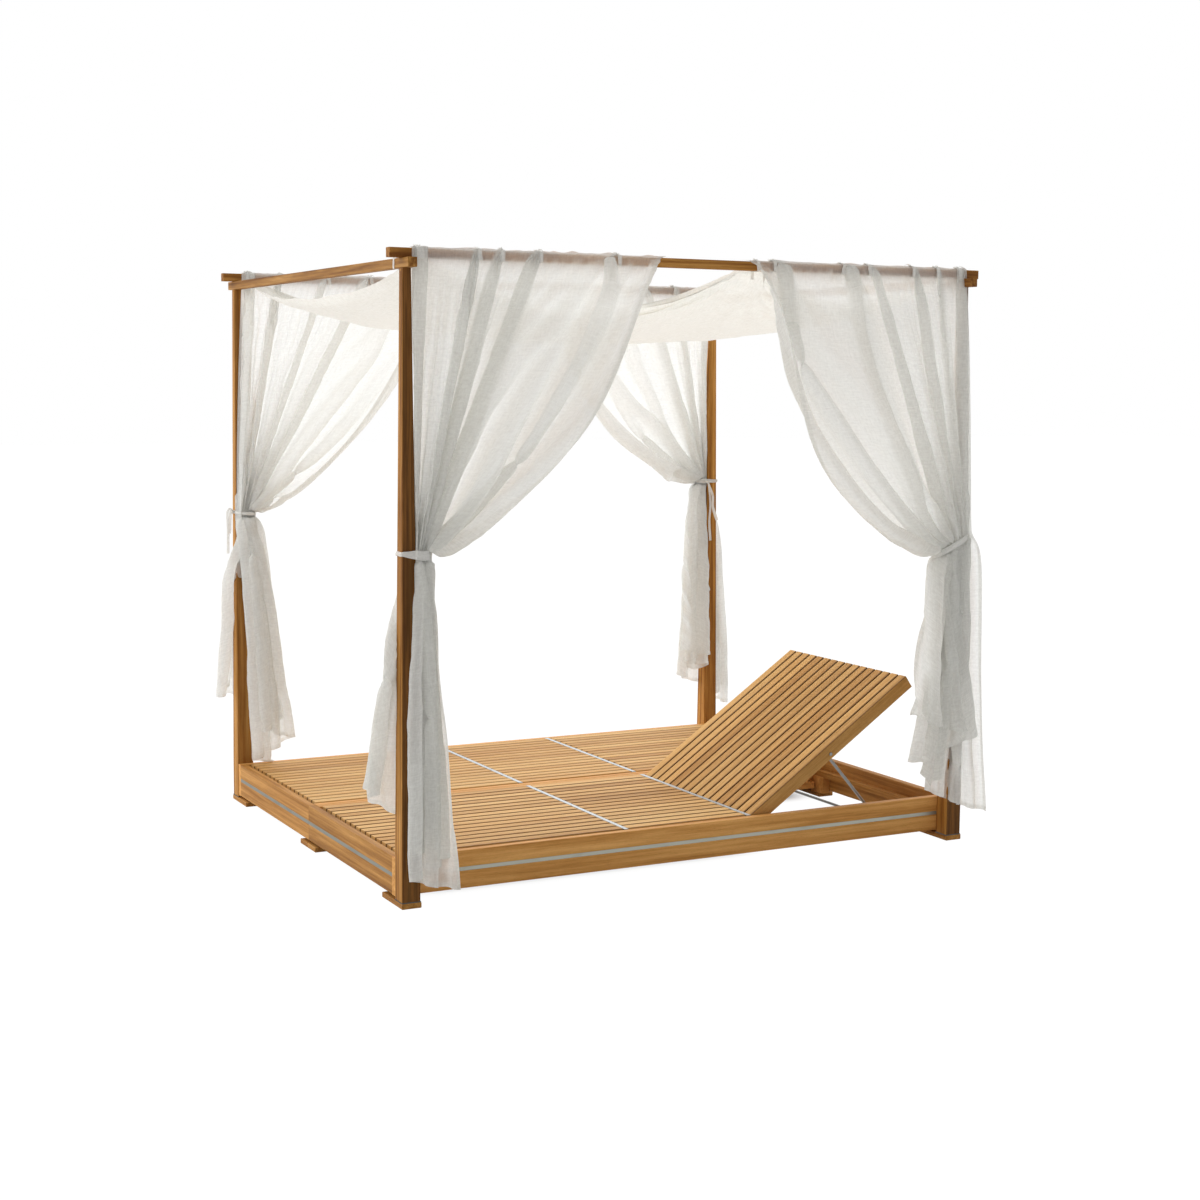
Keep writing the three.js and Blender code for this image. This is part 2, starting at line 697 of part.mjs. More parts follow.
// Canopy: tied to the long beams at its corners and middles, and sagging between them
function makeCanopy() {
  const x_half = x_post - beam_section / 2 - canopy_end_gap;
  const y_half = y_post - beam_section / 2 - cloth_clearance;
  const z_tie = z_long_beam + beam_section / 2;
  const tie = (canopy_tie_distance - x_post_out + x_half) / (2 * x_half);
  const point = (u, v) => {
    const across = 2 * v - 1;
    const long_span = u < tie;
    const in_span = long_span ? u / tie : (u - tie) / (1 - tie);
    const span_sag = canopy_side_sag * (long_span ? 1 : (1 - tie) / tie);
    const near_edge = Math.abs(across) ** 3;
    const edge_sag = span_sag * Math.sin(Math.PI * in_span) * near_edge;
    const belly = mix(canopy_end_sag, canopy_middle_sag, Math.sin(Math.PI * u));
    const sag = edge_sag + belly * (1 - across ** 2);
    const y = -(y_half - canopy_draw_in_share * edge_sag) * across;
    return new THREE.Vector3(mix(-x_half, x_half, u), y, z_tie - sag);
  };
  const up = new THREE.Vector3(0, 0, 1);
  place('canopy', sheetSolid(canopy_columns, canopy_rows, point, up), canopy_linen);
}

for (const [foot_or_head, end] of [['foot', -1], ['head', 1]]) {
  makePost(`near_${foot_or_head}`, end, -1);
  makePost(`far_${foot_or_head}`, end, 1);
  makeCentreFoot(foot_or_head, end);
  makeEndBoard(`near_${foot_or_head}`, end, -1);
  makeEndBoard(`far_${foot_or_head}`, end, 1);
}
for (const [name, side] of [['near', -1], ['far', 1]]) {
  makeSideBoard(name, side);
  makeCentreRail(name, side);
  makeFixedPanels(name, side);
  makeHingePins(name, side);
  makeRacks(name, side);
  makeHeadRest(name, side);
}
makeBackrest('near', -1, raised_angle);
makeBackrest('far', 1, 0);
makeTopFrame();
curtain_shares.forEach(makeCurtain);
makeCanopy();

export default daybed;
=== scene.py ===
"""Double outdoor daybed: teak beds and posts, a sagging linen canopy and four tied-back linen curtains.
Metres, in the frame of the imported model: X from the foot end to the head end, Y from near to far, Z up."""

import json
import math

import bpy
import numpy as np
from mathutils import Matrix, Vector


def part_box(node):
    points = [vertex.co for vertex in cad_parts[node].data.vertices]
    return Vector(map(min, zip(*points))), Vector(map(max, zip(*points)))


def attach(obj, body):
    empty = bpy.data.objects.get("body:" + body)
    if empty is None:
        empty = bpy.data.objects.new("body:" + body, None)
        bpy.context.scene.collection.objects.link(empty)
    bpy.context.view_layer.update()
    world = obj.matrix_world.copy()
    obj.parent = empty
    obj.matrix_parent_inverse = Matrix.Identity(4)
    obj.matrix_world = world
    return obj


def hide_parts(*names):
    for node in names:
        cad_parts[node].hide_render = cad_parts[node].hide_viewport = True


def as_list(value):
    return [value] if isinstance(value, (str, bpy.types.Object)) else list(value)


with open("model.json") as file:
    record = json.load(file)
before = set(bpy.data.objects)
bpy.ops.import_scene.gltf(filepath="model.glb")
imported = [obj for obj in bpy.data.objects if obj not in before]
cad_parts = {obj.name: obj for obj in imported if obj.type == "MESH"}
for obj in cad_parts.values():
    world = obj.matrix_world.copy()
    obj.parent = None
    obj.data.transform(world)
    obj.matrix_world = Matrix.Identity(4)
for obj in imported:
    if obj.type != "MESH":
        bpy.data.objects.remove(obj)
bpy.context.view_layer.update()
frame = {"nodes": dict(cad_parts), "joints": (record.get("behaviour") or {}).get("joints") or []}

MM = 0.001
nodes = frame["nodes"]
joints = {joint["name"]: joint for joint in frame["joints"]}


def middle(node):
    low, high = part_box(node)
    return (low + high) / 2


def size(node):
    low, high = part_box(node)
    return high - low


# Sizes taken from the frame
x_post = middle("near_head_post").x
y_post = middle("far_head_post").y
post_half_foot = size("near_head_post").x / 2
beam_half = size("near_long_beam").y / 2
z_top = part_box("near_long_beam")[1].z
z_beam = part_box("near_long_beam")[0].z
z_post_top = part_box("near_head_post")[1].z
z_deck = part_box("near_foot_panel")[1].z
y_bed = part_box("far_side_board")[1].y
x_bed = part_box("far_side_board")[1].x
post_half_top = beam_half - 0.5 * MM


def through_math(operation):
    """A method that puts a number through a Math node, with another number where the operation needs it"""
    return lambda self, *others: self.math(operation, *others)


class Field:
    """A number socket of a material. Arithmetic on it adds the Math nodes."""

    def __init__(self, finish, socket):
        self.finish, self.socket = finish, socket

    def math(self, operation, *others):
        inputs = dict(enumerate([self, *others]))
        return self.finish.node("Math", {"operation": operation}, inputs)

    __add__ = __radd__ = through_math("ADD")
    __mul__ = __rmul__ = through_math("MULTIPLY")
    __sub__, __truediv__ = through_math("SUBTRACT"), through_math("DIVIDE")
    __gt__, __lt__ = through_math("GREATER_THAN"), through_math("LESS_THAN")
    floor, abs = through_math("FLOOR"), through_math("ABSOLUTE")

    def __rsub__(self, other):
        return self * -1.0 + other

    def between(self, low, high):
        """0 below low, 1 above high, smooth in between"""
        settings = {"interpolation_type": "SMOOTHSTEP"}
        return self.finish.node("MapRange", settings, {"Value": self, "From Min": low, "From Max": high})


class Finish:
    """The nodes of a material or of the world, which one method adds."""

    def __init__(self, owner):
        owner.use_nodes = True
        self.owner, self.tree = owner, owner.node_tree
        self.tree.nodes.clear()

    def node(self, kind, settings=(), inputs=(), output=0):
        made = self.tree.nodes.new("ShaderNode" + kind)
        for name, value in dict(settings).items():
            if name == "stops":
                self.set_stops(made.color_ramp, value)
            else:
                setattr(made, name, value)
        for name, value in dict(inputs).items():
            if isinstance(value, Field):
                self.tree.links.new(value.socket, made.inputs[name])
            elif made.inputs[name].type == "RGBA":
                made.inputs[name].default_value = (*value, 1)
            else:
                made.inputs[name].default_value = value
        return Field(self, made.outputs[output])

    @staticmethod
    def set_stops(ramp, stops):
        while len(ramp.elements) < len(stops):
            ramp.elements.new(0.5)
        for element, (place, colour) in zip(ramp.elements, stops):
            element.position = place
            element.color = (*colour, 1)

    def coordinates(self, source="Object"):
        return self.node("TexCoord", output=source)

    def parts(self, vector):
        return [self.node("SeparateXYZ", inputs={"Vector": vector}, output=axis) for axis in range(3)]

    def vector(self, x, y, z):
        return self.node("CombineXYZ", inputs={"X": x, "Y": y, "Z": z})

    def noise(self, vector, detail, roughness, distortion=0.0):
        inputs = {"Vector": vector, "Scale": 1.0, "Detail": detail, "Roughness": roughness,
                  "Distortion": distortion}
        return self.node("TexNoise", inputs=inputs)

    def chance(self, x, y):
        """A random number for each whole-number place"""
        return self.node("TexWhiteNoise", {"noise_dimensions": "3D"}, {"Vector": self.vector(x, y, 0.0)})

    def ramp(self, value, stops):
        return self.node("ValToRGB", {"stops": stops}, {"Fac": value})

    def mix(self, share, low, high, blend="MIX"):
        settings = {"data_type": "RGBA", "blend_type": blend}
        return self.node("Mix", settings, {0: share, 6: low, 7: high}, output=2)

    def bump(self, height, depth, strength):
        return self.node("Bump", inputs={"Height": height, "Distance": depth, "Strength": strength})

    def surface(self, shader, output="OutputMaterial"):
        out = self.tree.nodes.new("ShaderNode" + output)
        self.tree.links.new(shader.socket, out.inputs["Surface"])
        return self.owner


white = (1, 1, 1)

# Teak: straight streaks along the grain, with another tone for each slat or board
teak_stops = [
    (0.20, (0.190, 0.075, 0.017)),
    (0.40, (0.400, 0.195, 0.052)),
    (0.56, (0.590, 0.325, 0.108)),
    (0.74, (0.760, 0.475, 0.190)),
]
slat_half_panel = size("near_foot_panel").y / 2
slat_count = 16
slat_gap = 6 * MM
slat_pitch = (2 * slat_half_panel + slat_gap) / slat_count
bed_middle = middle("far_foot_panel").y

# slat_edge_shade is painted shade along the rounded edges of the slats' tops; slat_gap_shade is painted shade
# on their sides in the gaps
dark_pore, slat_edge_shade = (0.17, 0.07, 0.018), (0.110, 0.045, 0.012)
slat_gap_shade = (0.045, 0.017, 0.005)
# Dark heartwood colours, also used to paint shade on the post faces that look to the near side
heartwood_and_shade, heartwood_and_shade_vein = (0.200, 0.082, 0.020), (0.075, 0.030, 0.008)


def teak(name, run, slats=False, tilt=0.0, about=(0, 0, 0), tone=0.0, piece_step=(0, 0), dark_front=0.0,
         stain=(1.0, 1.0, 1.0), lively=1.0):
    """Wood whose grain runs along X, Y or Z, turned by tilt about the Y direction. Tone makes it lighter.
    piece_step says whether another piece begins at the middle of X and of Y. dark_front paints the faces
    that look to the near side dark, as heartwood streaks and painted shade together, on the near posts and
    half as much on the far foot post.
    lively is how strong the streaks are."""
    f = Finish(bpy.data.materials.new(name))
    x, y, z = f.parts(f.coordinates())
    if tilt:
        right, up = x - about[0], z - about[2]
        x = right * math.cos(tilt) + up * math.sin(tilt)
        z = up * math.cos(tilt) - right * math.sin(tilt)
    if slats:
        index = ((y.abs() - bed_middle) / slat_pitch + slat_count / 2).floor()
        panel = (x > middle("near_deck_strip").x) + (x > middle("near_hinge_strip").x) * 2.0
        piece = index + (y > 0.0) * 40.0 + (7.0 if tilt else panel * 100.0)
    else:
        piece = (x > 0.0) * 3.0 * piece_step[0] + (y > 0.0) * 7.0 * piece_step[1] + (z > z_beam) * 11.0
    luck = f.chance(piece, 3.0)
    more_luck = f.chance(piece, 8.0)
    along, across, up = {"x": (x, y, z), "y": (y, x, z), "z": (z, x, y)}[run]
    shift = luck * 40.0

    def grain(length, width, detail=4.0, roughness=0.55, distortion=0.0):
        stretched = f.vector(along / length + shift, across / width + shift, up / width)
        return f.noise(stretched, detail, roughness, distortion)

    streak = grain(0.55, 0.011)
    broad = grain(1.1, 0.034, 2.0)
    figure = grain(0.30, 0.022, 2.0, 0.5, 1.2)
    fibre = grain(0.05, 0.0016, 2.0)
    pores = grain(0.012, 0.0007, 1.0)
    value = (streak - 0.5) * 0.72 + (broad - 0.5) * 0.62 + (figure - 0.5) * 0.30
    value = value * lively + (fibre - 0.5) * 0.22
    value = value + (luck - 0.5) * (0.24 if slats else 0.08) + 0.53 + tone
    colour = f.ramp(value, teak_stops)
    warm = f.mix(more_luck, stain, (stain[0], 0.94 * stain[1], 0.86 * stain[2]))
    colour = f.mix(1.0, colour, warm, "MULTIPLY")
    dark_pores = pores.between(0.62, 0.74)
    colour = f.mix(dark_pores * 0.35, colour, dark_pore)
    facing = f.parts(f.node("NewGeometry", output="True Normal"))
    if slats:
        from_middle = (y.abs() - bed_middle).abs()
        upright = facing[1].abs().between(0.80, 0.95)
        in_gap = upright * (from_middle < slat_half_panel - 3 * MM)
        half_slat = (slat_pitch - slat_gap) / 2
        along_slats = (y.abs() - bed_middle) + slat_pitch * slat_count / 2 - index * slat_pitch
        from_slat_middle = (along_slats - half_slat).abs()
        # Painted shade: a dark rim along both edges of each slat's top, and dark sides in the gaps between
        # slats
        edge_shade = from_slat_middle.between(half_slat - 4.5 * MM, half_slat - 0.5 * MM) * (1.0 - upright)
        colour = f.mix(edge_shade * 0.72, colour, slat_edge_shade)
        colour = f.mix(in_gap * 0.92, colour, slat_gap_shade)
    # Painted shade, streaked like heartwood, on the post faces that look to the near side
    if dark_front:
        veins = grain(0.42, 0.014, 3.0, 0.6, 0.8).between(0.35, 0.62)
        where = (y < 0.0) + (y > 0.0) * (x < 0.0) * 0.5
        dark = (facing[1] * -1.0).between(0.6, 0.9) * where * dark_front
        colour = f.mix(dark, colour, f.mix(veins, heartwood_and_shade, heartwood_and_shade_vein))
    rough = 0.60 + (fibre - 0.5) * 0.25 + dark_pores * 0.12
    relief = streak * 0.5 + fibre * 0.35 - dark_pores * 0.35
    inputs = {"Base Color": colour, "Roughness": rough, "Normal": f.bump(relief, 0.35 * MM, 0.55),
              "Specular IOR Level": 0.12}
    return f.surface(f.node("BsdfPrincipled", inputs=inputs))


def steel(name, run, tint=(0.70, 0.71, 0.70), rough=0.34):
    """Stainless steel, brushed along a direction"""
    f = Finish(bpy.data.materials.new(name))
    x, y, z = f.parts(f.coordinates())
    along, across, up = {"x": (x, y, z), "y": (y, x, z)}[run]
    brushed = f.noise(f.vector(along / 0.09, across / 0.0009, up / 0.0009), 3.0, 0.6)
    stains = f.noise(f.vector(along / 0.13, across / 0.03, up / 0.03), 4.0, 0.6)
    dull = stains.between(0.45, 0.75)
    colour = f.mix(dull * 0.5, tint, [0.80 * c for c in tint])
    roughness = rough + (brushed - 0.5) * 0.22 + dull * 0.12
    inputs = {"Base Color": colour, "Metallic": 1.0, "Roughness": roughness,
              "Normal": f.bump(brushed, 0.12 * MM, 0.5)}
    return f.surface(f.node("BsdfPrincipled", inputs=inputs))


def linen(name, colour, shade, cover, glow, painted_light_level=1.0):
    """Loosely woven linen. Cover is how much of what is behind it the weave hides, glow is the share of
    light that comes through it, and the last number scales down the colour it reflects, to paint shade on it."""
    f = Finish(bpy.data.materials.new(name))
    along, down, _ = f.parts(f.coordinates("UV"))

    def weave(length, height, layer, detail, roughness):
        return f.noise(f.vector(along / length, down / height, layer), detail, roughness)

    warp = weave(0.0020, 0.035, 1.0, 3.0, 0.6)
    weft = weave(0.035, 0.0020, 5.0, 3.0, 0.6)
    slubs = weave(0.06, 0.0035, 9.0, 2.0, 0.5).between(0.62, 0.74)
    crumple = weave(0.010, 0.010, 2.0, 4.0, 0.65)
    coarse = weave(0.045, 0.006, 3.0, 2.0, 0.5) + weave(0.006, 0.045, 4.0, 2.0, 0.5)
    threads = (warp - 0.5) + (weft - 0.5) + (coarse - 1.0) * 0.7
    mottle = threads * 0.7 + (crumple - 0.5) * 0.9
    tint = f.mix((mottle + 0.5).between(0.0, 1.0), shade, colour)
    cloth_relief = threads * 0.5 + slubs * 0.5 + crumple * 1.2
    normal = f.bump(cloth_relief, 0.7 * MM, 0.5)
    inputs = {"Base Color": f.mix(1.0, tint, [painted_light_level] * 3, "MULTIPLY"), "Roughness": 0.92,
              "Specular IOR Level": 0.15, "Sheen Weight": 0.12, "Sheen Roughness": 0.5, "Normal": normal}
    front = f.node("BsdfPrincipled", inputs=inputs)
    through = f.node("BsdfTranslucent", inputs={"Color": tint, "Normal": normal})
    cloth = f.node("MixShader", inputs={0: glow, 1: front, 2: through})
    hidden = cover + mottle * 0.16 + slubs * 0.10
    clear = f.node("BsdfTransparent", inputs={"Color": white})
    return f.surface(f.node("MixShader", inputs={0: hidden, 1: clear, 2: cloth}))


near_tilt = math.radians(-joints["near_backrest_tilt"]["range_deg"][0])
near_hinge = joints["near_backrest_tilt"]["pos_m"]
finishes = {
    "slats": teak("teak_slats", "x", slats=True, tone=0.09, lively=0.50),
    "raised_slats": teak("teak_raised_slats", "x", slats=True, tilt=near_tilt, about=near_hinge, tone=0.04,
                         lively=0.45),
    "long_board": teak("teak_long_boards", "x", piece_step=(0, 1), tone=0.07, stain=(1.08, 0.95, 0.80),
                       lively=0.65),
    "cross_board": teak("teak_cross_boards", "y", piece_step=(1, 1), tone=-0.08, stain=(0.98, 0.92, 0.80),
                        lively=0.7),
    "beam": teak("teak_beams", "x", piece_step=(0, 1), tone=-0.13, stain=(0.95, 0.90, 0.78)),
    "cross_beam": teak("teak_cross_beams", "y", piece_step=(1, 0), tone=-0.19, stain=(0.93, 0.90, 0.82)),
    "post": teak("teak_posts", "z", piece_step=(1, 1), tone=-0.10, dark_front=0.85,
                 stain=(0.95, 0.86, 0.66)),
    "strip": steel("steel_strips", "y", tint=(0.40, 0.42, 0.43), rough=0.42),
    "rod": steel("steel_rods", "y", tint=(0.24, 0.24, 0.23), rough=0.38),
    "stripe": steel("steel_long_stripes", "x", tint=(0.34, 0.34, 0.29), rough=0.48),
    "end_stripe": steel("steel_end_stripes", "y", tint=(0.27, 0.27, 0.23), rough=0.48),
    # The post plates are tinted near black: painted shade in the narrow gaps where they sit
    "plate": steel("shaded_steel_plates", "y", tint=(0.10, 0.10, 0.09), rough=0.5),
    # One linen in two copies: the near curtains' copy is dimmed with painted shade, and the far curtains'
    # copy is lighter, with painted light
    "near_curtain": linen("near_linen_painted_shade", (0.97, 0.97, 0.95), (0.88, 0.875, 0.85), cover=0.88,
                          glow=0.62, painted_light_level=0.88),
    "far_curtain": linen("far_linen_painted_light", (0.98, 0.98, 0.965), (0.91, 0.905, 0.885), cover=0.92,
                         glow=0.62),
    "canopy": linen("canopy_linen", (0.975, 0.965, 0.925), (0.915, 0.895, 0.835), cover=0.95, glow=0.50),
    "ribbon": linen("ribbon_linen", (0.95, 0.94, 0.91), (0.87, 0.855, 0.82), cover=0.98, glow=0.30),
}
finish_of_ending = [
    ("near_backrest", "raised_slats"), ("side_board", "long_board"), ("centre_rail", "long_board"),
    ("rack", "long_board"), ("end_board", "cross_board"), ("head_ledger", "cross_board"),
    ("_foot", "cross_board"), ("long_beam", "beam"), ("cross_beam", "cross_beam"), ("_post", "post"),
    ("strip", "strip"), ("side_stripe", "stripe"), ("end_stripe", "end_stripe"), ("post_plate", "plate"),
    ("hinge_pin", "rod"), ("_prop", "rod"), ("", "slats"),
]
for name, node in nodes.items():
    wanted = next(finish for ending, finish in finish_of_ending if name.endswith(ending))
    node.data.materials.clear()
    node.data.materials.append(finishes[wanted])


# Smooth fields and grids
def resampled(values, count, axis):
    """Values on an even grid, read at count even places along an axis, by Catmull-Rom curves"""
    values = np.moveaxis(values, axis, 0)
    last = len(values) - 1
    at = np.linspace(0, last, count)
    low = np.minimum(at.astype(int), last - 1)
    t = (at - low).reshape(-1, *[1] * (values.ndim - 1))
    padded = np.concatenate([2 * values[:1] - values[1:2], values, 2 * values[-1:] - values[-2:-1]])
    a, b, c, d = (padded[low + k] for k in range(4))
    curve = b + t * ((c - a) / 2 + t * (a - 2.5 * b + 2 * c - d / 2 + t * (1.5 * (b - c) + (d - a) / 2)))
    return np.moveaxis(curve, 0, axis)


def regridded(values, rows, columns):
    """Values whose last two axes are a grid, on a grid of so many rows and columns"""
    return resampled(resampled(values, rows, -2), columns, -1)


def rough_field(rows, columns, cells, seed):
    """Smooth random heights of about one unit, with so many cells down and across"""
    source = np.random.RandomState(seed).standard_normal((cells[0] + 2, cells[1] + 2))
    return regridded(source, rows, columns)


def crumples(rows, columns, layers, seed):
    """The sum of rough fields, each with its cells and its height in millimetres"""
    return sum(rough_field(rows, columns, cells, seed + number) * height * MM
               for number, (cells, height) in enumerate(layers))


tiny = 1e-9  # added to lengths that are divided by


class Cloth:
    """Sheets of cloth on grids of one size, relaxed together. Places and flat places have the shape
    (3 or 2, sheets, rows, columns); loose is 1 where a point may move and 0 where it is held."""

    # Rows down, columns along and firmness of each kind of link: along the threads, diagonals, and bends
    kinds = ((0, 1, 1.0), (1, 0, 1.0), (1, 1, 0.14), (1, -1, 0.14), (0, 2, 0.06), (2, 0, 0.06), (0, 4, 0.06))

    def __init__(self, place, flat, loose):
        self.place, self.flat, self.loose = place, flat, loose
        self.moving = np.zeros_like(place)
        self.links = []
        for kind in self.kinds:
            self.link(*kind)

    def link(self, down, along, firm):
        """Links each point to the one so many rows down and columns along, in groups that share no point"""
        rows, columns = self.place.shape[2:]
        step = 2 * (down or along)
        for start in range(step):
            if down:
                first_rows, second_rows = slice(start, rows - down, step), slice(start + down, rows, step)
                first_columns = slice(max(0, -along), columns - max(0, along))
                second_columns = slice(max(0, along), columns - max(0, -along))
            else:
                first_rows = second_rows = slice(None)
                first_columns = slice(start, columns - along, step)
                second_columns = slice(start + along, columns, step)
            first, second = np.s_[:, :, first_rows, first_columns], np.s_[:, :, second_rows, second_columns]
            rest = np.sqrt(((self.flat[second] - self.flat[first]) ** 2).sum(0))
            total = self.loose[first[1:]] + self.loose[second[1:]]
            share = firm / np.maximum(total, tiny)
            self.links.append((first, second, rest, self.loose[first[1:]] * share,
                               self.loose[second[1:]] * share))

    def tighten(self):
        for first, second, rest, pull_first, pull_second in self.links:
            a, b = self.place[first], self.place[second]
            gap = b - a
            length = np.sqrt(gap[0] ** 2 + gap[1] ** 2 + gap[2] ** 2) + tiny
            gap *= (length - rest) / length
            a += gap * pull_first
            b -= gap * pull_second

    def limit(self, anchor, reach):
        """No point is further from its anchor than its reach along the cloth"""
        gap = self.place - anchor
        length = np.sqrt((gap ** 2).sum(0)) + tiny
        self.place -= gap * (np.maximum(length - reach, 0) / length * self.loose)

    def relax(self, after, steps, sweeps, fall, keep):
        """Lets the cloth fall a little in each step, then puts its lengths right. keep is the share of its
        speed that it keeps, and after is called with the cloth in every sweep."""
        for _ in range(steps):
            before = self.place.copy()
            self.moving[2] -= fall * self.loose
            self.place += self.moving * self.loose
            for _ in range(sweeps):
                self.tighten()
                after(self)
            self.moving = (self.place - before) * keep


def grid_faces(rows, columns):
    corner = (np.arange(rows - 1)[:, None] * columns + np.arange(columns - 1)).ravel()
    return np.stack([corner, corner + columns, corner + columns + 1, corner + 1], 1)


def add_object(name, data):
    made = bpy.data.objects.new(name, data)
    bpy.context.scene.collection.objects.link(made)
    return made


def mesh_object(name, verts, faces, material):
    mesh = bpy.data.meshes.new(name)
    mesh.from_pydata(verts, [], faces)
    mesh.materials.append(material)
    return add_object(name, mesh)


def grid_mesh(name, places, flat, finish, flip=False):
    """A sheet from its points (rows, columns, 3) and their flat places (rows, columns, 2)"""
    faces = grid_faces(*places.shape[:2])
    if flip:
        faces = faces[:, ::-1]
    made = mesh_object(name, places.reshape(-1, 3).tolist(), faces.tolist(), finishes[finish])
    layer = made.data.uv_layers.new(name="flat")
    corners = flat.reshape(-1, 2)[faces.ravel()]
    layer.data.foreach_set("uv", corners.astype(np.float32).ravel())
    made.data.shade_smooth()
    return made


def unit(vectors):
    return vectors / (np.linalg.norm(vectors, axis=-1, keepdims=True) + 1e-12)


def grid_normals(places):
    return unit(np.cross(np.gradient(places, axis=0), np.gradient(places, axis=1)))


# Curtains. Each is worked out in coordinates of its own: across, from the middle of its post towards the
# middle of the bed; out, from the middle of the post outwards; and height.
# Lengths are in millimetres:
#   end, side: signs of X and Y; beam_side: 1 outside its beam, -1 inside; opening: how late the tail opens
#   top: across of its two upper corners; neck: across and height of the gathered part's ends, at neck_out
#   edge_length: of the free edge down to the neck; tail: its length at the post and at the free edge
#   band: its width at both ends; knot: its place; knot_ends: points of its loose ends, from the knot
#   ties: across, size of the fold there, width it is drawn to; hem: per cent of the width, across, out
drape_rows, tail_rows, curtain_columns = 74, 60, 113
over_beam_rows = 4
neck_length = 24 * MM
curtains = {
    "near_foot": dict(
        end=-1, side=-1, beam_side=1, opening=0.6, top=(15, 880), neck=((20, 1086), (72, 1082)), neck_out=6,
        edge_length=1269, tail=(1015, 720), band=(13, 29), knot=(-4, -31, 1073),
        ties=[(44, 55, 46), (230, 88, 26), (306, 60, 22), (432, 75, 30), (700, 66, 20)],
        knot_ends=[[(2, -12, -20), (6, -16, -70), (4, -18, -130)]],
        hem=[(0, 130, 60), (16, -6, 52), (33, 112, 40), (48, 10, 34), (62, 90, 0), (74, 40, -44),
             (87, -92, -50), (100, -98, -66)],
    ),
    "near_head": dict(
        end=1, side=-1, beam_side=1, opening=1.2, top=(0, 888), neck=((-10, 1090), (122, 1026)),
        neck_out=44, edge_length=1316, tail=(975, 550), band=(15, 21), knot=(-27, 12, 1088),
        ties=[(30, 56, 40), (125, 44, 22), (223, 62, 20), (405, 40, 20), (505, 88, 22), (775, 74, 34)],
        knot_ends=[[(-8, 4, -4), (-14, 8, -20), (-13, 6, -40)],
                   [(-3, -10, 6), (-8, -22, 0), (-10, -26, -30)]],
        hem=[(0, -113, 40), (24, 100, 36), (33, 143, 52), (42, 95, 56), (50, 160, 64), (57, 225, 72),
             (78, -52, 84), (100, 236, 100)],
    ),
    "far_foot": dict(
        end=-1, side=1, beam_side=-1, opening=0.6, top=(16, 860), neck=((-18, 1108), (40, 1104)),
        neck_out=-44, edge_length=1250, tail=(955, 670), band=(10, 12), knot=(-30, -10, 1098),
        ties=[(50, 60, 36), (165, 80, 26), (350, 40, 22), (520, 56, 22), (690, 44, 20), (840, 20, 18)],
        knot_ends=[[(-12, -4, 12), (-22, -6, -4), (-20, -4, -60), (-22, -6, -155)],
                   [(-6, -6, 6), (-12, -8, -12), (-16, -10, -80)]],
        hem=[(0, 92, -46), (12, 36, -52), (35, 168, -70), (50, 60, -84), (65, 140, -30), (80, 0, 52),
             (90, -78, 52), (100, -40, 62)],
    ),
    "far_head": dict(
        end=1, side=1, beam_side=-1, opening=0.6, top=(18, 860), neck=((24, 1190), (62, 1190)), neck_out=4,
        edge_length=1225, tail=(965, 700), band=(12, 16), knot=(30, -34, 1178),
        ties=[(55, 60, 34), (190, 50, 24), (345, 72, 24), (500, 44, 22), (660, 56, 22), (820, 20, 18)],
        knot_ends=[[(-4, -6, -20), (-10, -8, -100), (-8, -6, -170), (-14, -6, -250)],
                   [(0, -8, -10), (-20, -10, -60), (-22, -10, -110), (-44, -8, -165)]],
        hem=[(0, -143, 50), (15, -46, 56), (30, -120, 66), (42, 0, 52), (52, 110, 10), (62, 135, -10),
             (72, 30, -30), (84, 134, -42), (92, 0, -54), (100, 180, -62)],
    ),
}


def metres(value):
    """Numbers of millimetres, in lists or alone, as metres"""
    return [metres(part) for part in value] if isinstance(value, (list, tuple)) else value / 1000


for curtain in curtains.values():
    for key in ("top", "neck", "neck_out", "edge_length", "tail", "band", "knot", "ties", "knot_ends"):
        curtain[key] = metres(curtain[key])
    curtain["hem"] = np.array(curtain["hem"]) / (100, 1000, 1000)

pleat_depth = 3 * MM
tail_reach = 0.125  # how far a tail may swing past the middle of its post
beam_zone = 16 * MM  # how far below the beam the cloth still keeps clear of it
reach_slack = 1.004  # how far a point may be from a held one, as a share of the cloth between them
post_edge_slack = 1.003  # of the edge at the post
first_waves, first_wave_height = 6, 10 * MM
tail_pull = 0.020  # towards its hem's places, in each sweep
tie_width, tie_end_widths, band_end_widths = 13 * MM, (7 * MM, 11 * MM), (7 * MM, 13 * MM)
wrap_clearance, wrap_steps = 1.5 * MM, 72
tie_knot, band_knot = 4.5 * MM, 8 * MM
tie_rumple, end_rumple = 0.5 * MM, 0.6 * MM
band_rumple, band_end_rumple = 0.9 * MM, 0.7 * MM
neck_fold, neck_fill = 0.075, 0.85  # depth of the folds at the band, and how much of it they fill
gather_depth = 2.2 * MM  # of the small pleats that run out from a band
seat = 2.5 * MM  # between the cloth and the wood it lies on


def to_world(curtain, points):
    """Points from a curtain's own coordinates, in the last axis, to the frame's"""
    points = np.asarray(points, float)
    across, out, z = np.moveaxis(points, -1, 0)
    return np.stack([curtain["end"] * (x_post - across), curtain["side"] * (y_post + out), z], -1)


def length_along(line):
    """The length of a line of points from its start to each of them"""
    return np.concatenate([[0], np.cumsum(np.linalg.norm(np.diff(line, axis=0), axis=1))])


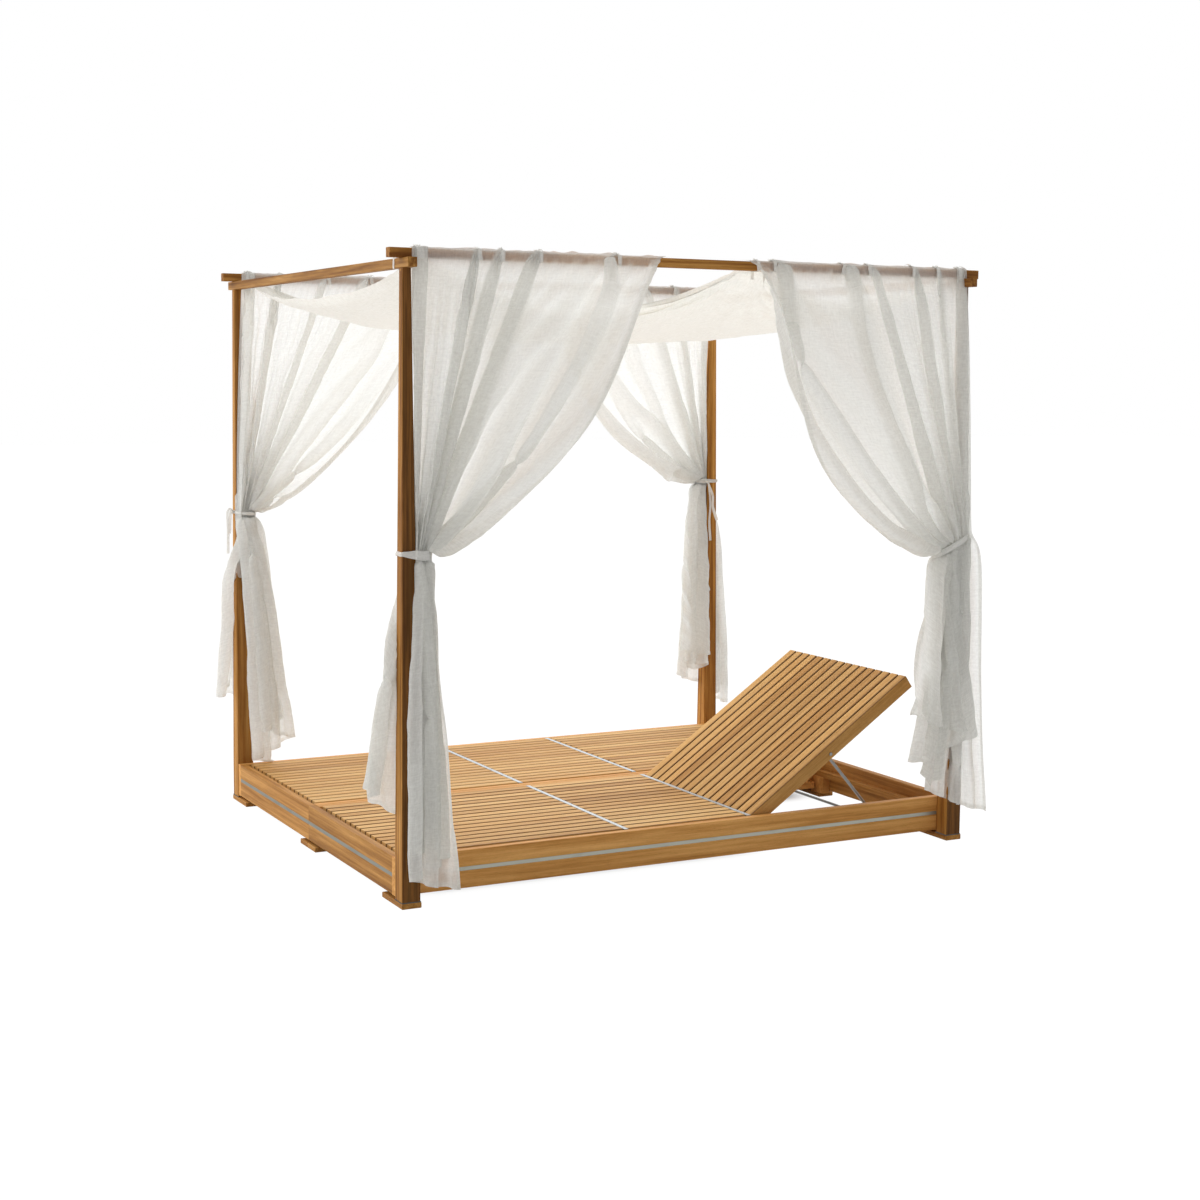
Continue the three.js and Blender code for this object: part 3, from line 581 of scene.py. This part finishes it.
def ribbon(name, points, width, facing, rumple, seed, twist=0.0):
    """A strip of cloth along a smooth curve through points. facing is where its flat side looks to, twist
    how far it turns on its way, in radians, and rumple the height of its wrinkles."""
    steps, rows = 14 * (len(points) - 1) + 1, 7
    line = resampled(np.array(points, float), steps, 0)
    ahead = unit(np.gradient(line, axis=0))
    across = unit(np.cross(ahead, np.asarray(facing, float)))
    face = np.cross(across, ahead)
    turn = np.linspace(0, twist, steps)[:, None]
    turned = across * np.cos(turn) + face * np.sin(turn)
    normal = np.cross(turned, ahead)
    widths = np.broadcast_to(width, 2)
    half = np.linspace(widths[0], widths[1], steps)[:, None, None] / 2
    share = np.linspace(-1, 1, rows)[None, :, None]
    height = rough_field(steps, rows, (max(3, steps // 6), 4), seed)[..., None] * rumple
    strip = line[:, None] + turned[:, None] * share * half + normal[:, None] * height
    flat = np.stack(np.broadcast_arrays(share[..., 0] * half[..., 0], length_along(line)[:, None]), -1)
    return grid_mesh(name, strip, flat, "ribbon")


def loop_round(corners, offset, count):
    """The outline of a taut band round some corners, from its first point to its first point again"""
    angles = np.linspace(0, 2 * math.pi, 181)
    ways = np.stack([np.cos(angles), np.sin(angles)], -1)
    corners = np.array(corners, float)
    outline = corners[np.argmax(ways @ corners.T, axis=1)] + ways * offset
    along = length_along(outline)
    even = np.linspace(0, along[-1], count)
    return np.stack([np.interp(even, along, outline[:, axis]) for axis in range(2)], -1), even


def band(name, outline, even, height_at, width_at, axis, rumple, seed, curtain=None):
    """A band of cloth whose middle follows an outline. axis is the one that its width runs along, in the
    curtain's own coordinates, or in the frame's if there is no curtain."""
    rows = 9
    share = np.linspace(-1, 1, rows)
    width = np.array([width_at(point) for point in outline])
    height = np.array([height_at(point) for point in outline])
    centre = outline.mean(0)
    away = unit(outline - centre)
    wrinkle = rough_field(len(outline), rows, (16, 6), seed) * rumple
    wrinkle[-1] = wrinkle[0]
    bulge = wrinkle + (1 - share ** 2) * 1.2 * MM
    edge = rough_field(len(outline), 1, (14, 1), seed + 1)[:, 0] * 0.8 * MM
    edge[-1] = edge[0]
    sideways = height[:, None] + edge[:, None] + share * width[:, None] / 2
    plan = outline[:, None] + away[:, None] * bulge[..., None]
    points = np.insert(plan, axis, sideways, -1)
    if curtain:
        points = to_world(curtain, points)
    flat = np.stack(np.broadcast_arrays(share * width[:, None], even[:, None]), -1)
    return grid_mesh(name, points, flat, "ribbon")


def knot(name, place, reach, seed):
    """A small tied lump: a strip wound twice round a point"""
    turns = np.linspace(0, 4 * math.pi, 13)
    tilt = np.random.RandomState(seed).uniform(-0.5, 0.5, 2)
    rise = np.sin(turns * 1.5) * 0.45
    points = np.stack([np.cos(turns), np.sin(turns) * 0.8 + tilt[0] * rise, rise + tilt[1] * np.cos(turns)],
                      -1)
    return ribbon(name, np.array(place) + points * reach, reach * 1.5, (0.3, 0.2, 1.0), rumple=0.08 * reach,
                  seed=seed)


def post_half(z):
    share = np.clip((z - z_deck) / (z_post_top - z_deck), 0, 1)
    return post_half_foot + (post_half_top - post_half_foot) * share


def top_line(curtain, columns):
    """Across and depth of the cloth's columns along the beam, and where it turns along its flat width. It
    is flat between the ties and folded over at each, where the ribbon draws the fold together."""
    start, end = curtain["top"]
    turns, along = [(start, 0.0)], [0.0]
    for place, fold, drawn in curtain["ties"]:
        turns += [(place + drawn / 2, 2.0), (place - drawn / 2, 1.0), (place + drawn / 2 + 2 * MM, 0.0)]
        along.append(along[-1] + abs(place + drawn / 2 - turns[-4][0]))
        along += [along[-1] + fold, along[-1] + 2 * fold]
    turns.append((max(end, turns[-1][0] + 4 * MM), 0.0))
    along.append(along[-1] + turns[-1][0] - turns[-2][0])
    turns = np.array(turns)
    s = np.linspace(0, along[-1], columns)
    return np.interp(s, along, turns[:, 0]), np.interp(s, along, turns[:, 1]) * pleat_depth, along


def neck_zigzag(along, columns):
    """The cloth's fold depth at the neck: it turns where the pleats of the ties turn, and in between where
    they lie far apart"""
    turns = [0.0]
    for start, end in zip(along[:-1], along[1:]):
        if end - start < 8 * MM:
            continue
        parts = max(1, round((end - start) / neck_fold))
        turns += [start + (end - start) * (k + 1) / parts for k in range(parts)]
    sides = [(-1.0) ** k for k in range(len(turns))]
    s = np.linspace(0, along[-1], columns)
    return np.interp(s, turns, sides), along[-1] / (len(turns) - 1)


def soften(line):
    for _ in range(3):
        line[1:-1] = (line[:-2] + 2 * line[1:-1] + line[2:]) / 4
    return line


def neck_way(curtain):
    """The direction, across and down, in which the cloth passes through its band"""
    (first, z_first), (last, z_last) = curtain["neck"]
    across, rise = last - first, z_last - z_first
    return rise / math.hypot(across, rise), -across / math.hypot(across, rise)


def curtain_start(curtain, seed):
    """The first places and the flat places of a curtain: from its ties in straight lines to its neck, then
    down to its hem"""
    columns, rows = curtain_columns, drape_rows + tail_rows
    share = np.linspace(0, 1, columns)
    way_across, way_down = neck_way(curtain)
    across_top, pleats, along = top_line(curtain, columns)
    width = along[-1]
    neck = np.array(curtain["neck"])
    across_neck = neck[0, 0] + (neck[1, 0] - neck[0, 0]) * share
    z_neck = neck[0, 1] + (neck[1, 1] - neck[0, 1]) * share
    zigzag, fold_width = neck_zigzag(along, columns)
    out_neck = curtain["neck_out"] + fold_width / 2 * neck_fill * zigzag
    hem = curtain["hem"]
    across_hem, out_hem = (soften(np.interp(share, hem[:, 0], hem[:, k])) for k in (1, 2))
    beam_side = curtain["beam_side"]
    out_top = beam_side * (beam_half + seat + pleats)
    place = np.zeros((3, rows, columns))
    flat = np.zeros((2, rows, columns))
    flat[0] = share * width
    edge_slack = curtain["edge_length"] / math.hypot(across_top[-1] - across_neck[-1], z_top - z_neck[-1])
    drape_length = np.hypot(across_top - across_neck, z_top - z_neck)
    drape_length = drape_length * (post_edge_slack + (edge_slack - post_edge_slack) * share ** 1.5)
    tail_length = curtain["tail"][0] + (curtain["tail"][1] - curtain["tail"][0]) * share
    last_drape = drape_rows - 1
    for row in range(rows):
        if row <= last_drape:
            down = row / last_drape
            flat[1, row] = -down * drape_length
            wave = np.sin(2 * math.pi * first_waves * share + 3 * down)
            wave = wave * np.sin(math.pi * down) * first_wave_height
            place[0, row] = across_top + (across_neck - across_top) * down
            place[1, row] = out_top + (out_neck - out_top) * down ** 1.2 + wave
            place[2, row] = z_top + (z_neck - z_top) * down
        else:
            down = (row - drape_rows) / (tail_rows - 1)
            flat[1, row] = -drape_length - neck_length - down * tail_length
            open_share = down ** curtain["opening"]
            across_start = across_neck + way_across * neck_length
            place[0, row] = across_start + (across_hem - across_start) * open_share
            place[1, row] = out_neck + (out_hem - out_neck) * open_share
            place[2, row] = z_neck + way_down * neck_length - down * tail_length
    ruffle = np.abs(rough_field(1, columns, (1, 46), seed)[0])
    over_beam = [(22 * MM, seat + 1 * MM), (10 * MM, seat), (1 * MM, seat - 0.5 * MM), (0, -5 * MM)]
    for row, (back, rise) in enumerate(over_beam):
        place[1, row] = out_top - beam_side * back
        place[2, row] = z_top + rise + pleats * 0.3
    place[2, 0] += ruffle * 2.5 * MM
    place[2, 1] += ruffle * 1.5 * MM
    return place, flat, width


def keep_clear(cloth):
    """Pushes the cloth off the posts, the beams and the beds"""
    across, out, z = cloth.place
    np.maximum(across, -tail_reach, out=across)
    half = post_half(z) + seat
    inside = (np.abs(across) < half) & (np.abs(out) < half) & (z < z_beam)
    sideways = half - np.abs(across) < half - np.abs(out)
    across[...] = np.where(inside & sideways, np.copysign(half, across), across)
    out[...] = np.where(inside & ~sideways, np.copysign(half, out), out)
    beam = beam_half + seat
    inside = (np.abs(out) < beam) & (z > z_beam - beam_zone) & (z < z_top) & (cloth.loose > 0)
    out[...] = np.where(inside, np.copysign(beam, out), out)
    bed_out = y_bed - y_post + seat
    inside = (out < bed_out) & (z < z_deck + seat) & (across > x_post - x_bed - seat)
    to_side = bed_out - out < z_deck + seat - z
    out[...] = np.where(inside & to_side, bed_out, out)
    z[...] = np.where(inside & ~to_side, z_deck + seat, z)


firm_rows = (np.arange(drape_rows + tail_rows) < drape_rows - 8)[None, :]  # those above the band


def stiffen_hem(cloth):
    """Takes ripples, but not the curve, out of the free edge, whose hem bends less than the cloth"""
    for column, firm in ((-1, 0.8), (-2, 0.6), (-3, 0.4), (-4, 0.2), (-5, 0.1)):
        edge = cloth.place[..., column]
        rows = edge.shape[-1]
        for step in (2, 5):
            inner = slice(2 * step, rows - 2 * step)
            beside = edge[..., step:rows - 3 * step] + edge[..., 3 * step:rows - step]
            beyond = edge[..., :rows - 4 * step] + edge[..., 4 * step:]
            held = cloth.loose[:, inner, column] * firm_rows[:, inner] * firm
            edge[..., inner] += ((4 * beside - beyond) / 6 - edge[..., inner]) * held


def hang_curtains():
    starts = [curtain_start(curtain, 180 + number) for number, curtain in enumerate(curtains.values())]
    place = np.stack([start[0] for start in starts], 1)
    flat = np.stack([start[1] for start in starts], 1)
    loose = np.ones(place.shape[1:])
    loose[:, :over_beam_rows] = 0
    loose[:, drape_rows - 1:drape_rows + 1] = 0
    rows = place.shape[2]
    jitter = np.stack([rough_field(rows, curtain_columns, (12, 24), 11 + k) for k in range(len(starts))])
    place[1] += jitter * 1.5 * MM * loose
    cloth = Cloth(place, flat, loose)
    targets = place[:2, :, drape_rows:].copy()
    limits = []
    for row in (drape_rows - 1, over_beam_rows - 1):
        reach = np.abs(flat[1] - flat[1][:, row:row + 1]) * reach_slack
        limits.append((place[:, :, row:row + 1].copy(), reach))
    limits[1][1][:, drape_rows:] = np.inf  # the beam doesn't limit the tail
    hold = np.linspace(0.15, 1, tail_rows)[None, :, None] * tail_pull

    def after(cloth):
        tail = cloth.place[:2, :, drape_rows:]
        tail += (targets - tail) * hold
        for anchor, reach in limits:
            cloth.limit(anchor, reach)
        stiffen_hem(cloth)
        keep_clear(cloth)

    cloth.relax(after, steps=260, sweeps=2, fall=1.1 * MM, keep=0.975)
    cloth.relax(after, steps=20, sweeps=4, fall=0.4 * MM, keep=0.9)
    return cloth, [start[2] for start in starts]


def finish_curtain(name, curtain, place, flat, seed):
    """A finer sheet with small crumples, its hems, and its place in the frame"""
    rows, columns = place.shape[1] * 2 - 1, place.shape[2] * 2 - 1
    fine, fine_flat = regridded(place, rows, columns), regridded(flat, rows, columns)
    world = to_world(curtain, np.moveaxis(fine, 0, -1))
    normal = grid_normals(world)
    crumple = crumples(rows, columns, [((60, 50), 0.5), ((26, 18), 1.2), ((130, 110), 0.3)], seed)
    down, across = np.linspace(0, rows, rows), np.linspace(0, 1, columns)
    calm = np.clip(np.abs(down - 2 * drape_rows) / 14, 0.2, 1) * np.clip((down - 8) / 24, 0.1, 1)
    edge_calm = np.clip(np.minimum(across, 1 - across) / 0.05, 0, 1)
    world = world + normal * (crumple * calm[:, None] * edge_calm)[..., None]
    from_neck = np.abs(down - 2 * drape_rows) / (2 * drape_rows)
    gathers = rough_field(rows, columns, (5, 84), seed + 3) * np.exp(-((from_neck / 0.30) ** 2))[:, None]
    gathers *= np.clip(from_neck / 0.04, 0, 1)[:, None]
    world = world + normal * (gathers * gather_depth * edge_calm)[..., None]
    uv = np.stack([fine_flat[0], -fine_flat[1]], -1)
    # The near curtains get the copy with painted shade, and the far ones get the lighter copy with painted
    # light
    linen_finish = "near_curtain" if curtain["side"] < 0 else "far_curtain"
    turned = curtain["end"] * curtain["side"] < 0
    sheet = grid_mesh(f"{name}_curtain_cloth", world, uv, linen_finish, flip=turned)
    normal = grid_normals(world)
    hems = []
    for label, part in (("bottom", np.s_[-3:, :]), ("free", np.s_[:, -3:]), ("post", np.s_[:, :3])):
        strip = world[part] - normal[part] * 0.8 * MM
        hems.append(grid_mesh(f"{name}_curtain_{label}_hem", strip, uv[part], linen_finish))
    return sheet, hems


def make_tie(name, curtain, across, seed):
    """The ribbon that ties a curtain to its beam: a wrap, a knot on top, and two ends"""
    chance = np.random.RandomState(seed)
    way = curtain["beam_side"]
    cloth_out = beam_half + seat + 2 * pleat_depth
    corners = [(s * beam_half, z) for s in (-1, 1) for z in (z_beam, z_top + seat)]
    corners += [(way * cloth_out, z_beam), (way * cloth_out, z_top)]
    outline, even = loop_round(corners, wrap_clearance, wrap_steps)
    slant = chance.uniform(-0.15, 0.15)
    pieces = [band(f"{name}_wrap", outline, even, lambda p: across + slant * (p[1] - z_top),
                   lambda p: tie_width, 0, tie_rumple, seed, curtain)]
    top = np.array([across, way * 4 * MM, z_top + seat + 2 * MM])
    pieces.append(knot(f"{name}_knot", to_world(curtain, top), tie_knot, seed))
    inside = -way * (beam_half + 7 * MM)
    for number in range(2):
        lean = chance.uniform(-0.22, 0.22)
        length = chance.uniform(40, 90) * MM
        start = top + (number - 0.5) * np.array([6, 0, 0]) * MM
        points = [start, start + (lean * 0.01, -way * 9 * MM, 3 * MM),
                  (start[0] + lean * 0.02, inside, z_top - 6 * MM),
                  (start[0] + lean * 0.05, inside - way * 3 * MM, z_top - length * 0.5),
                  (start[0] + lean * length, inside - way * chance.uniform(-2, 6) * MM, z_top - length)]
        pieces.append(ribbon(f"{name}_end_{number + 1}", to_world(curtain, points), tie_end_widths,
                             (0.15, curtain["side"], 0.25), twist=chance.uniform(-1.2, 1.2),
                             rumple=end_rumple, seed=seed + number))
    if chance.uniform() < 0.6:
        lean = chance.uniform(-1, 1)
        points = [top, top + (lean * 0.014, way * 2 * MM, 6 * MM), top + (lean * 0.030, way * 5 * MM, 3 * MM),
                  top + (lean * 0.040, way * 9 * MM, -2 * MM)]
        pieces.append(ribbon(f"{name}_loop", to_world(curtain, points), 9 * MM, (0, 0.3, 1),
                             rumple=0.8 * MM, seed=seed + 3))
    return pieces


def make_neck_band(name, curtain, seed):
    (first, z_first), (last, z_last) = curtain["neck"]
    half = float(post_half((z_first + z_last) / 2)) + 1 * MM
    depth = neck_fold / 2 * neck_fill * 0.92
    out = curtain["neck_out"]
    corners = [(a, b) for a in (-half, half) for b in (-half, half)]
    angles = np.linspace(0, 2 * math.pi, 24)
    middle_a, half_a = (first + last) / 2, (last - first) / 2
    corners += [(middle_a + half_a * 1.08 * math.cos(t), out + depth * math.sin(t)) for t in angles]
    outline, even = loop_round(corners, 2.5 * MM, 160)
    slope = (z_last - z_first) / (last - first)
    way_across, way_down = (step * neck_length / 2 for step in neck_way(curtain))

    def height_at(point):
        return z_first + (point[0] - way_across - first) * slope + way_down

    def width_at(point):
        share = np.clip((point[0] + half) / (2 * half), 0, 1)
        return curtain["band"][0] + (curtain["band"][1] - curtain["band"][0]) * share

    pieces = [band(f"{name}_neck_band", outline, even, height_at, width_at, 2, band_rumple, seed, curtain)]
    knot_at = np.array(curtain["knot"])
    pieces.append(knot(f"{name}_neck_knot", to_world(curtain, knot_at), band_knot, seed + 1))
    for number, ends in enumerate(curtain["knot_ends"]):
        points = knot_at + np.array([(0, 0, 0), *ends])
        pieces.append(ribbon(f"{name}_neck_end_{number + 1}", to_world(curtain, points), band_end_widths,
                             (0.2, 1.0, 0.1), twist=0.5 * (-1) ** number, rumple=band_end_rumple,
                             seed=seed + 2 + number))
    return pieces


cloth, widths = hang_curtains()
for number, (name, curtain) in enumerate(curtains.items()):
    place, flat = cloth.place[:, number], cloth.flat[:, number]
    sheet, parts = finish_curtain(name, curtain, place, flat, 20 + 5 * number)
    for index, (across, _, _) in enumerate(curtain["ties"]):
        parts += make_tie(f"{name}_tie_{index + 1}", curtain, across, 300 + 20 * number + index)
    parts += make_neck_band(name, curtain, 400 + 10 * number)
    for piece in (sheet, *parts):
        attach(piece, "frame")
    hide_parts(f"{name}_curtain")
    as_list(parts)


# Canopy
canopy_columns, canopy_rows = 97, 81
canopy_tie_x = 0.183
canopy_side_sag, canopy_end_sag, canopy_middle_sag = 0.135, 0.095, 0.228
canopy_x_half = size("canopy").x / 2
canopy_play = 8 * MM  # how far the cloth may settle from its first shape
canopy_fans = 8  # folds in a quarter turn round each tie
canopy_fold, canopy_lean = 13 * MM, 14 * MM  # how high the folds are, and how far they lean over
canopy_gather = 0.70  # how closely the ties draw the cloth together
canopy_tie_half = 3  # columns on each side that a tie holds
canopy_fold_start, canopy_fold_reach = 0.30, 0.60  # how far from a tie they are full, and fade away
canopy_tie_u = (canopy_tie_x + canopy_x_half) / (2 * canopy_x_half)
canopy_tie_columns = (0, round(canopy_tie_u * (canopy_columns - 1)), canopy_columns - 1)
canopy_fine_rows, canopy_fine_columns = canopy_rows * 6 - 5, canopy_columns * 2 - 1


def canopy_start():
    """The hanging shape before its wrinkles: free edges that sag between the ties, and a belly"""
    x_tie, y_tie, z_tie = canopy_x_half, y_post - beam_half - 1 * MM, z_beam + beam_half
    u, v = np.meshgrid(np.linspace(0, 1, canopy_columns), np.linspace(-1, 1, canopy_rows))
    tie_u = canopy_tie_u
    in_span = np.where(u < tie_u, u / tie_u, (u - tie_u) / (1 - tie_u))
    side_sag = canopy_side_sag * np.where(u < tie_u, 1, (1 - tie_u) / tie_u)
    side_sag = side_sag * np.sin(math.pi * in_span)
    belly = canopy_end_sag + (canopy_middle_sag - canopy_end_sag) * np.sin(math.pi * u) ** 0.5
    near_side = np.abs(v) ** 3
    sag = side_sag * near_side + belly * (1 - v ** 2) ** 0.75
    drawn_in = 0.35 * side_sag * near_side * np.sign(v)
    return np.stack([x_tie * (2 * u - 1), y_tie * v - drawn_in, z_tie - sag])


def hang_canopy():
    place = canopy_start()
    rest = place.copy()
    loose = np.ones((canopy_rows, canopy_columns))
    spacing = place[0, 0, 1] - place[0, 0, 0]
    for row in (0, canopy_rows - 1):
        for column in canopy_tie_columns:
            for step in range(-canopy_tie_half, canopy_tie_half + 1):
                if 0 <= column + step < canopy_columns:
                    loose[row, column + step] = 0
                    drawn = step * spacing * canopy_gather
                    place[0, row, column + step] = place[0, row, column] + drawn
                    place[2, row, column + step] = place[2, row, column] - abs(step) * 1.5 * MM
    place[2] += rough_field(canopy_rows, canopy_columns, (10, 14), 5) * 3 * MM * loose
    start = place.copy()
    cloth = Cloth(place[:, None], rest[:, None], loose[None])
    cloth.relax(lambda cloth: cloth.limit(start[:, None], canopy_play), steps=160, sweeps=4,
                fall=0.15 * MM, keep=0.97)
    width = float(np.linalg.norm(np.diff(rest, axis=2), axis=0).sum(1).mean())
    length = float(np.linalg.norm(np.diff(rest, axis=1), axis=0).sum(0).mean())
    u, v = np.meshgrid(np.linspace(0, width, canopy_columns), np.linspace(0, length, canopy_rows))
    return cloth.place[:, 0], np.stack([u, v]), width, length


def canopy_folds(world):
    """How far the cloth is moved by the folds that fan out from each tie. They lie closest together beside
    the long edges, and lean over their neighbours there."""
    rows, columns = world.shape[:2]
    tie_column = round(canopy_tie_u * (columns - 1))
    wander = rough_field(rows, columns, (7, 10), 93) * 0.30
    normal = grid_normals(world)
    moved = np.zeros_like(world)
    for row, inwards in ((0, 1), (rows - 1, -1)):
        from_edge = np.abs(world[..., 1] - world[row, :, 1])
        for column in (0, tie_column, columns - 1):
            from_tie = world[..., 0] - world[row, column, 0]
            reach = np.hypot(from_tie, from_edge) + 1e-6
            turn = np.arctan2(from_edge, np.abs(from_tie))
            phase = np.sqrt(turn * 2 / math.pi) * math.pi * canopy_fans + wander + column
            strength = np.exp(-reach / canopy_fold_reach) * np.clip(reach / canopy_fold_start, 0, 1)
            strength = strength * (0.25 + 0.75 * np.exp(-turn / 0.60))
            across = np.stack([-from_edge * np.sign(from_tie), np.abs(from_tie) * inwards, 0 * reach], -1)
            across /= reach[..., None]
            lean = np.sin(2 * phase)[..., None] * across
            rise = (2 * np.abs(np.sin(phase)) - 1)[..., None] * normal
            moved += (rise * canopy_fold + lean * canopy_lean) * strength[..., None]
    return moved


place, flat, width, length = hang_canopy()
world, uv = (np.moveaxis(regridded(values, canopy_fine_rows, canopy_fine_columns), 0, -1)
             for values in (place, flat))
crumple = crumples(canopy_fine_rows, canopy_fine_columns, [((60, 70), 0.4), ((24, 30), 1.0)], 91)
world = world + grid_normals(world) * crumple[..., None] + canopy_folds(world)
canopy = grid_mesh("canopy_cloth", world, uv, "canopy")
canopy_ties = []
for side_name, side in (("near", -1), ("far", 1)):
    for place_name, x in (("foot", -canopy_x_half), ("middle", canopy_tie_x), ("head", canopy_x_half)):
        tied_to = {"end": -1, "side": side, "beam_side": 1}
        seed = 700 + len(canopy_ties)
        canopy_ties += make_tie(f"canopy_{side_name}_{place_name}_tie", tied_to, x_post + x, seed)
for piece in (canopy, *canopy_ties):
    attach(piece, "frame")
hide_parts("canopy")


# The ribbon round the foot end's short beam, beside the near post, and the wooden plugs over the posts' bolts
def make_beam_wrap(name, y, seed):
    low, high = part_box("foot_cross_beam")
    corners = [(x, z) for x in (low.x, high.x) for z in (low.z, high.z)]
    outline, even = loop_round(corners, wrap_clearance, wrap_steps)
    pieces = [band(f"{name}_wrap", outline, even, lambda p: y, lambda p: tie_width, 1, tie_rumple, seed)]
    top = np.array([(low.x + high.x) / 2, y, high.z + 3 * MM])
    pieces.append(knot(f"{name}_knot", top, tie_knot, seed))
    inside = high.x + 5 * MM
    for number, drop in enumerate((0.050, 0.075)):
        side = (number - 0.5) * 8 * MM
        points = [top, (top[0] + 15 * MM, y + side, high.z + 5 * MM), (inside, y + side, high.z - 6 * MM),
                  (inside + 3 * MM, y + 2 * side, high.z - drop * 0.6), (inside, y + 3 * side, high.z - drop)]
        pieces.append(ribbon(f"{name}_end_{number + 1}", points, tie_end_widths, (1, 0.2, 0.1),
                             twist=0.6 * (-1) ** number, rumple=end_rumple, seed=seed + number))
    return pieces


def make_plug(name, place, away):
    """A domed wooden plug, flush in a post's face apart from its dome"""
    rings = [(1.8 * MM, 0.9 * MM), (3.4 * MM, 0.7 * MM), (4.5 * MM, 0.3 * MM), (4.6 * MM, -0.6 * MM)]
    count = 28
    turns = [2 * math.pi * k / count for k in range(count)]
    verts = [(0.0, 0.0, 1.0 * MM)]
    verts += [(radius * math.cos(t), radius * math.sin(t), rise) for radius, rise in rings for t in turns]
    following = [(k, (k + 1) % count) for k in range(count)]
    faces = [(0, 1 + k, 1 + k_next) for k, k_next in following]
    for ring in range(len(rings) - 1):
        first, second = 1 + ring * count, 1 + (ring + 1) * count
        faces += [(first + k, second + k, second + k_next, first + k_next) for k, k_next in following]
    made = mesh_object(name, verts, faces, finishes["cross_beam"])
    made.data.transform(Matrix.Translation(place) @ Vector(away).to_track_quat("Z", "Y").to_matrix().to_4x4())
    made.data.shade_smooth()
    return made


short_beam_tie_from_post, plug_drop = 0.052, 0.035
for piece in make_beam_wrap("canopy_short_beam_tie", -y_post + short_beam_tie_from_post, 760):
    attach(piece, "frame")
plug_height = z_beam - plug_drop
for post in ("near_foot", "near_head", "far_foot", "far_head"):
    end, side = (-1 if "foot" in post else 1), (-1 if "near" in post else 1)
    half = float(post_half(plug_height))
    plug = make_plug(f"{post}_post_plug", (end * (x_post + half), side * y_post, plug_height), (end, 0, 0))
    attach(plug, "frame")

# Floor, backdrop and light
show_white, floor_shine = 1.0, 1.08
front_light, back_light, backdrop_glow = 0.42, 1.15, 1.6
floor_half, floor_paint = 40.0, (0.80, 0.80, 0.80)


def seen_directly(f):
    """1 for the rays that show the surroundings: from the camera, a mirror or glass"""
    rays = ("Is Camera Ray", "Is Glossy Ray", "Is Transmission Ray")
    camera, glossy, through = (f.node("LightPath", output=name) for name in rays)
    return (camera + glossy + through).math("MINIMUM", 1.0)


def make_floor():
    """White where it is seen, apart from a soft shadow, and plain paint under the slats"""
    f = Finish(bpy.data.materials.new("studio_floor"))
    x, y, _ = f.parts(f.coordinates())
    under_bed = 1.0 - x.abs().between(x_bed - 0.22, x_bed - 0.04)
    under_bed = under_bed * (1.0 - y.abs().between(y_bed - 0.20, y_bed - 0.04))
    hinge_x = middle("near_hinge_strip").x
    open_part = x.between(hinge_x - 0.05, hinge_x + 0.12) * (1.0 - y.between(-0.12, 0.02))
    shown = 1.0 - under_bed * (1.0 - open_part)
    paint = f.node("BsdfDiffuse", inputs={"Color": floor_paint})
    shine = f.node("Emission", inputs={"Color": white, "Strength": floor_shine})
    material = f.surface(f.node("MixShader", inputs={0: seen_directly(f) * shown * 0.92, 1: paint, 2: shine}))
    corners = [(x * floor_half, y * floor_half, -0.5 * MM) for x, y in ((-1, -1), (1, -1), (1, 1), (-1, 1))]
    floor = mesh_object("studio_floor", corners, [(0, 1, 2, 3)], material)


def make_world():
    """Brighter behind the object than in front of it, and white where it is seen"""
    f = Finish(bpy.data.worlds.new("studio"))
    _, back, up = f.parts(f.coordinates("Generated"))
    backdrop = back.between(0.15, 0.85) * (1.0 - up.abs().between(0.30, 0.80))
    strength = back.between(-0.7, 0.7) * (back_light - front_light) + front_light + backdrop * backdrop_glow
    light = f.node("Background", inputs={"Color": (1.0, 1.0, 0.985), "Strength": strength})
    shown = f.node("Background", inputs={"Color": white, "Strength": show_white})
    both = f.node("MixShader", inputs={0: seen_directly(f), 1: light, 2: shown})
    bpy.context.scene.world = f.surface(both, "OutputWorld")


def add_lamp(name, place, target, breadth, power):
    lamp = bpy.data.lights.new(name, "AREA")
    lamp.size = breadth
    lamp.energy = power
    made = add_object(name, lamp)
    made.location = place
    made.rotation_mode = "QUATERNION"
    made.rotation_quaternion = (Vector(target) - Vector(place)).to_track_quat("-Z", "Y")


make_floor()
make_world()
add_lamp("left_lamp", (-5.5, 0.5, 4.5), target=(0, 0, 0.8), breadth=3.0, power=70)
add_lamp("back_lamp", (3.0, 6.0, 4.0), target=(0, 0, 1.0), breadth=3.0, power=60)

# Camera, fitted to the photo's edges
camera_place = Vector((-3.15241, -6.19403, 1.59302))
camera_yaw, camera_pitch, camera_roll = (math.radians(a) for a in (27.465, -6.470, 0.404))
camera_lens, camera_sensor = 57.945, 36  # millimetres

camera = bpy.data.cameras.new("camera")
camera.sensor_fit = "AUTO"
camera.sensor_width = camera_sensor
camera.lens = camera_lens
camera_object = add_object("camera", camera)
level_forward = Vector((math.sin(camera_yaw), math.cos(camera_yaw), 0))
forward = level_forward * math.cos(camera_pitch) + Vector((0, 0, math.sin(camera_pitch)))
level_right = Vector((math.cos(camera_yaw), -math.sin(camera_yaw), 0))
level_up = level_right.cross(forward)
right = level_right * math.cos(camera_roll) + level_up * math.sin(camera_roll)
up = level_up * math.cos(camera_roll) - level_right * math.sin(camera_roll)
turn = Matrix((right, up, -forward)).transposed()
camera_object.matrix_world = Matrix.Translation(camera_place) @ turn.to_4x4()
bpy.context.scene.camera = camera_object
bpy.context.scene.view_settings.view_transform = "Standard"
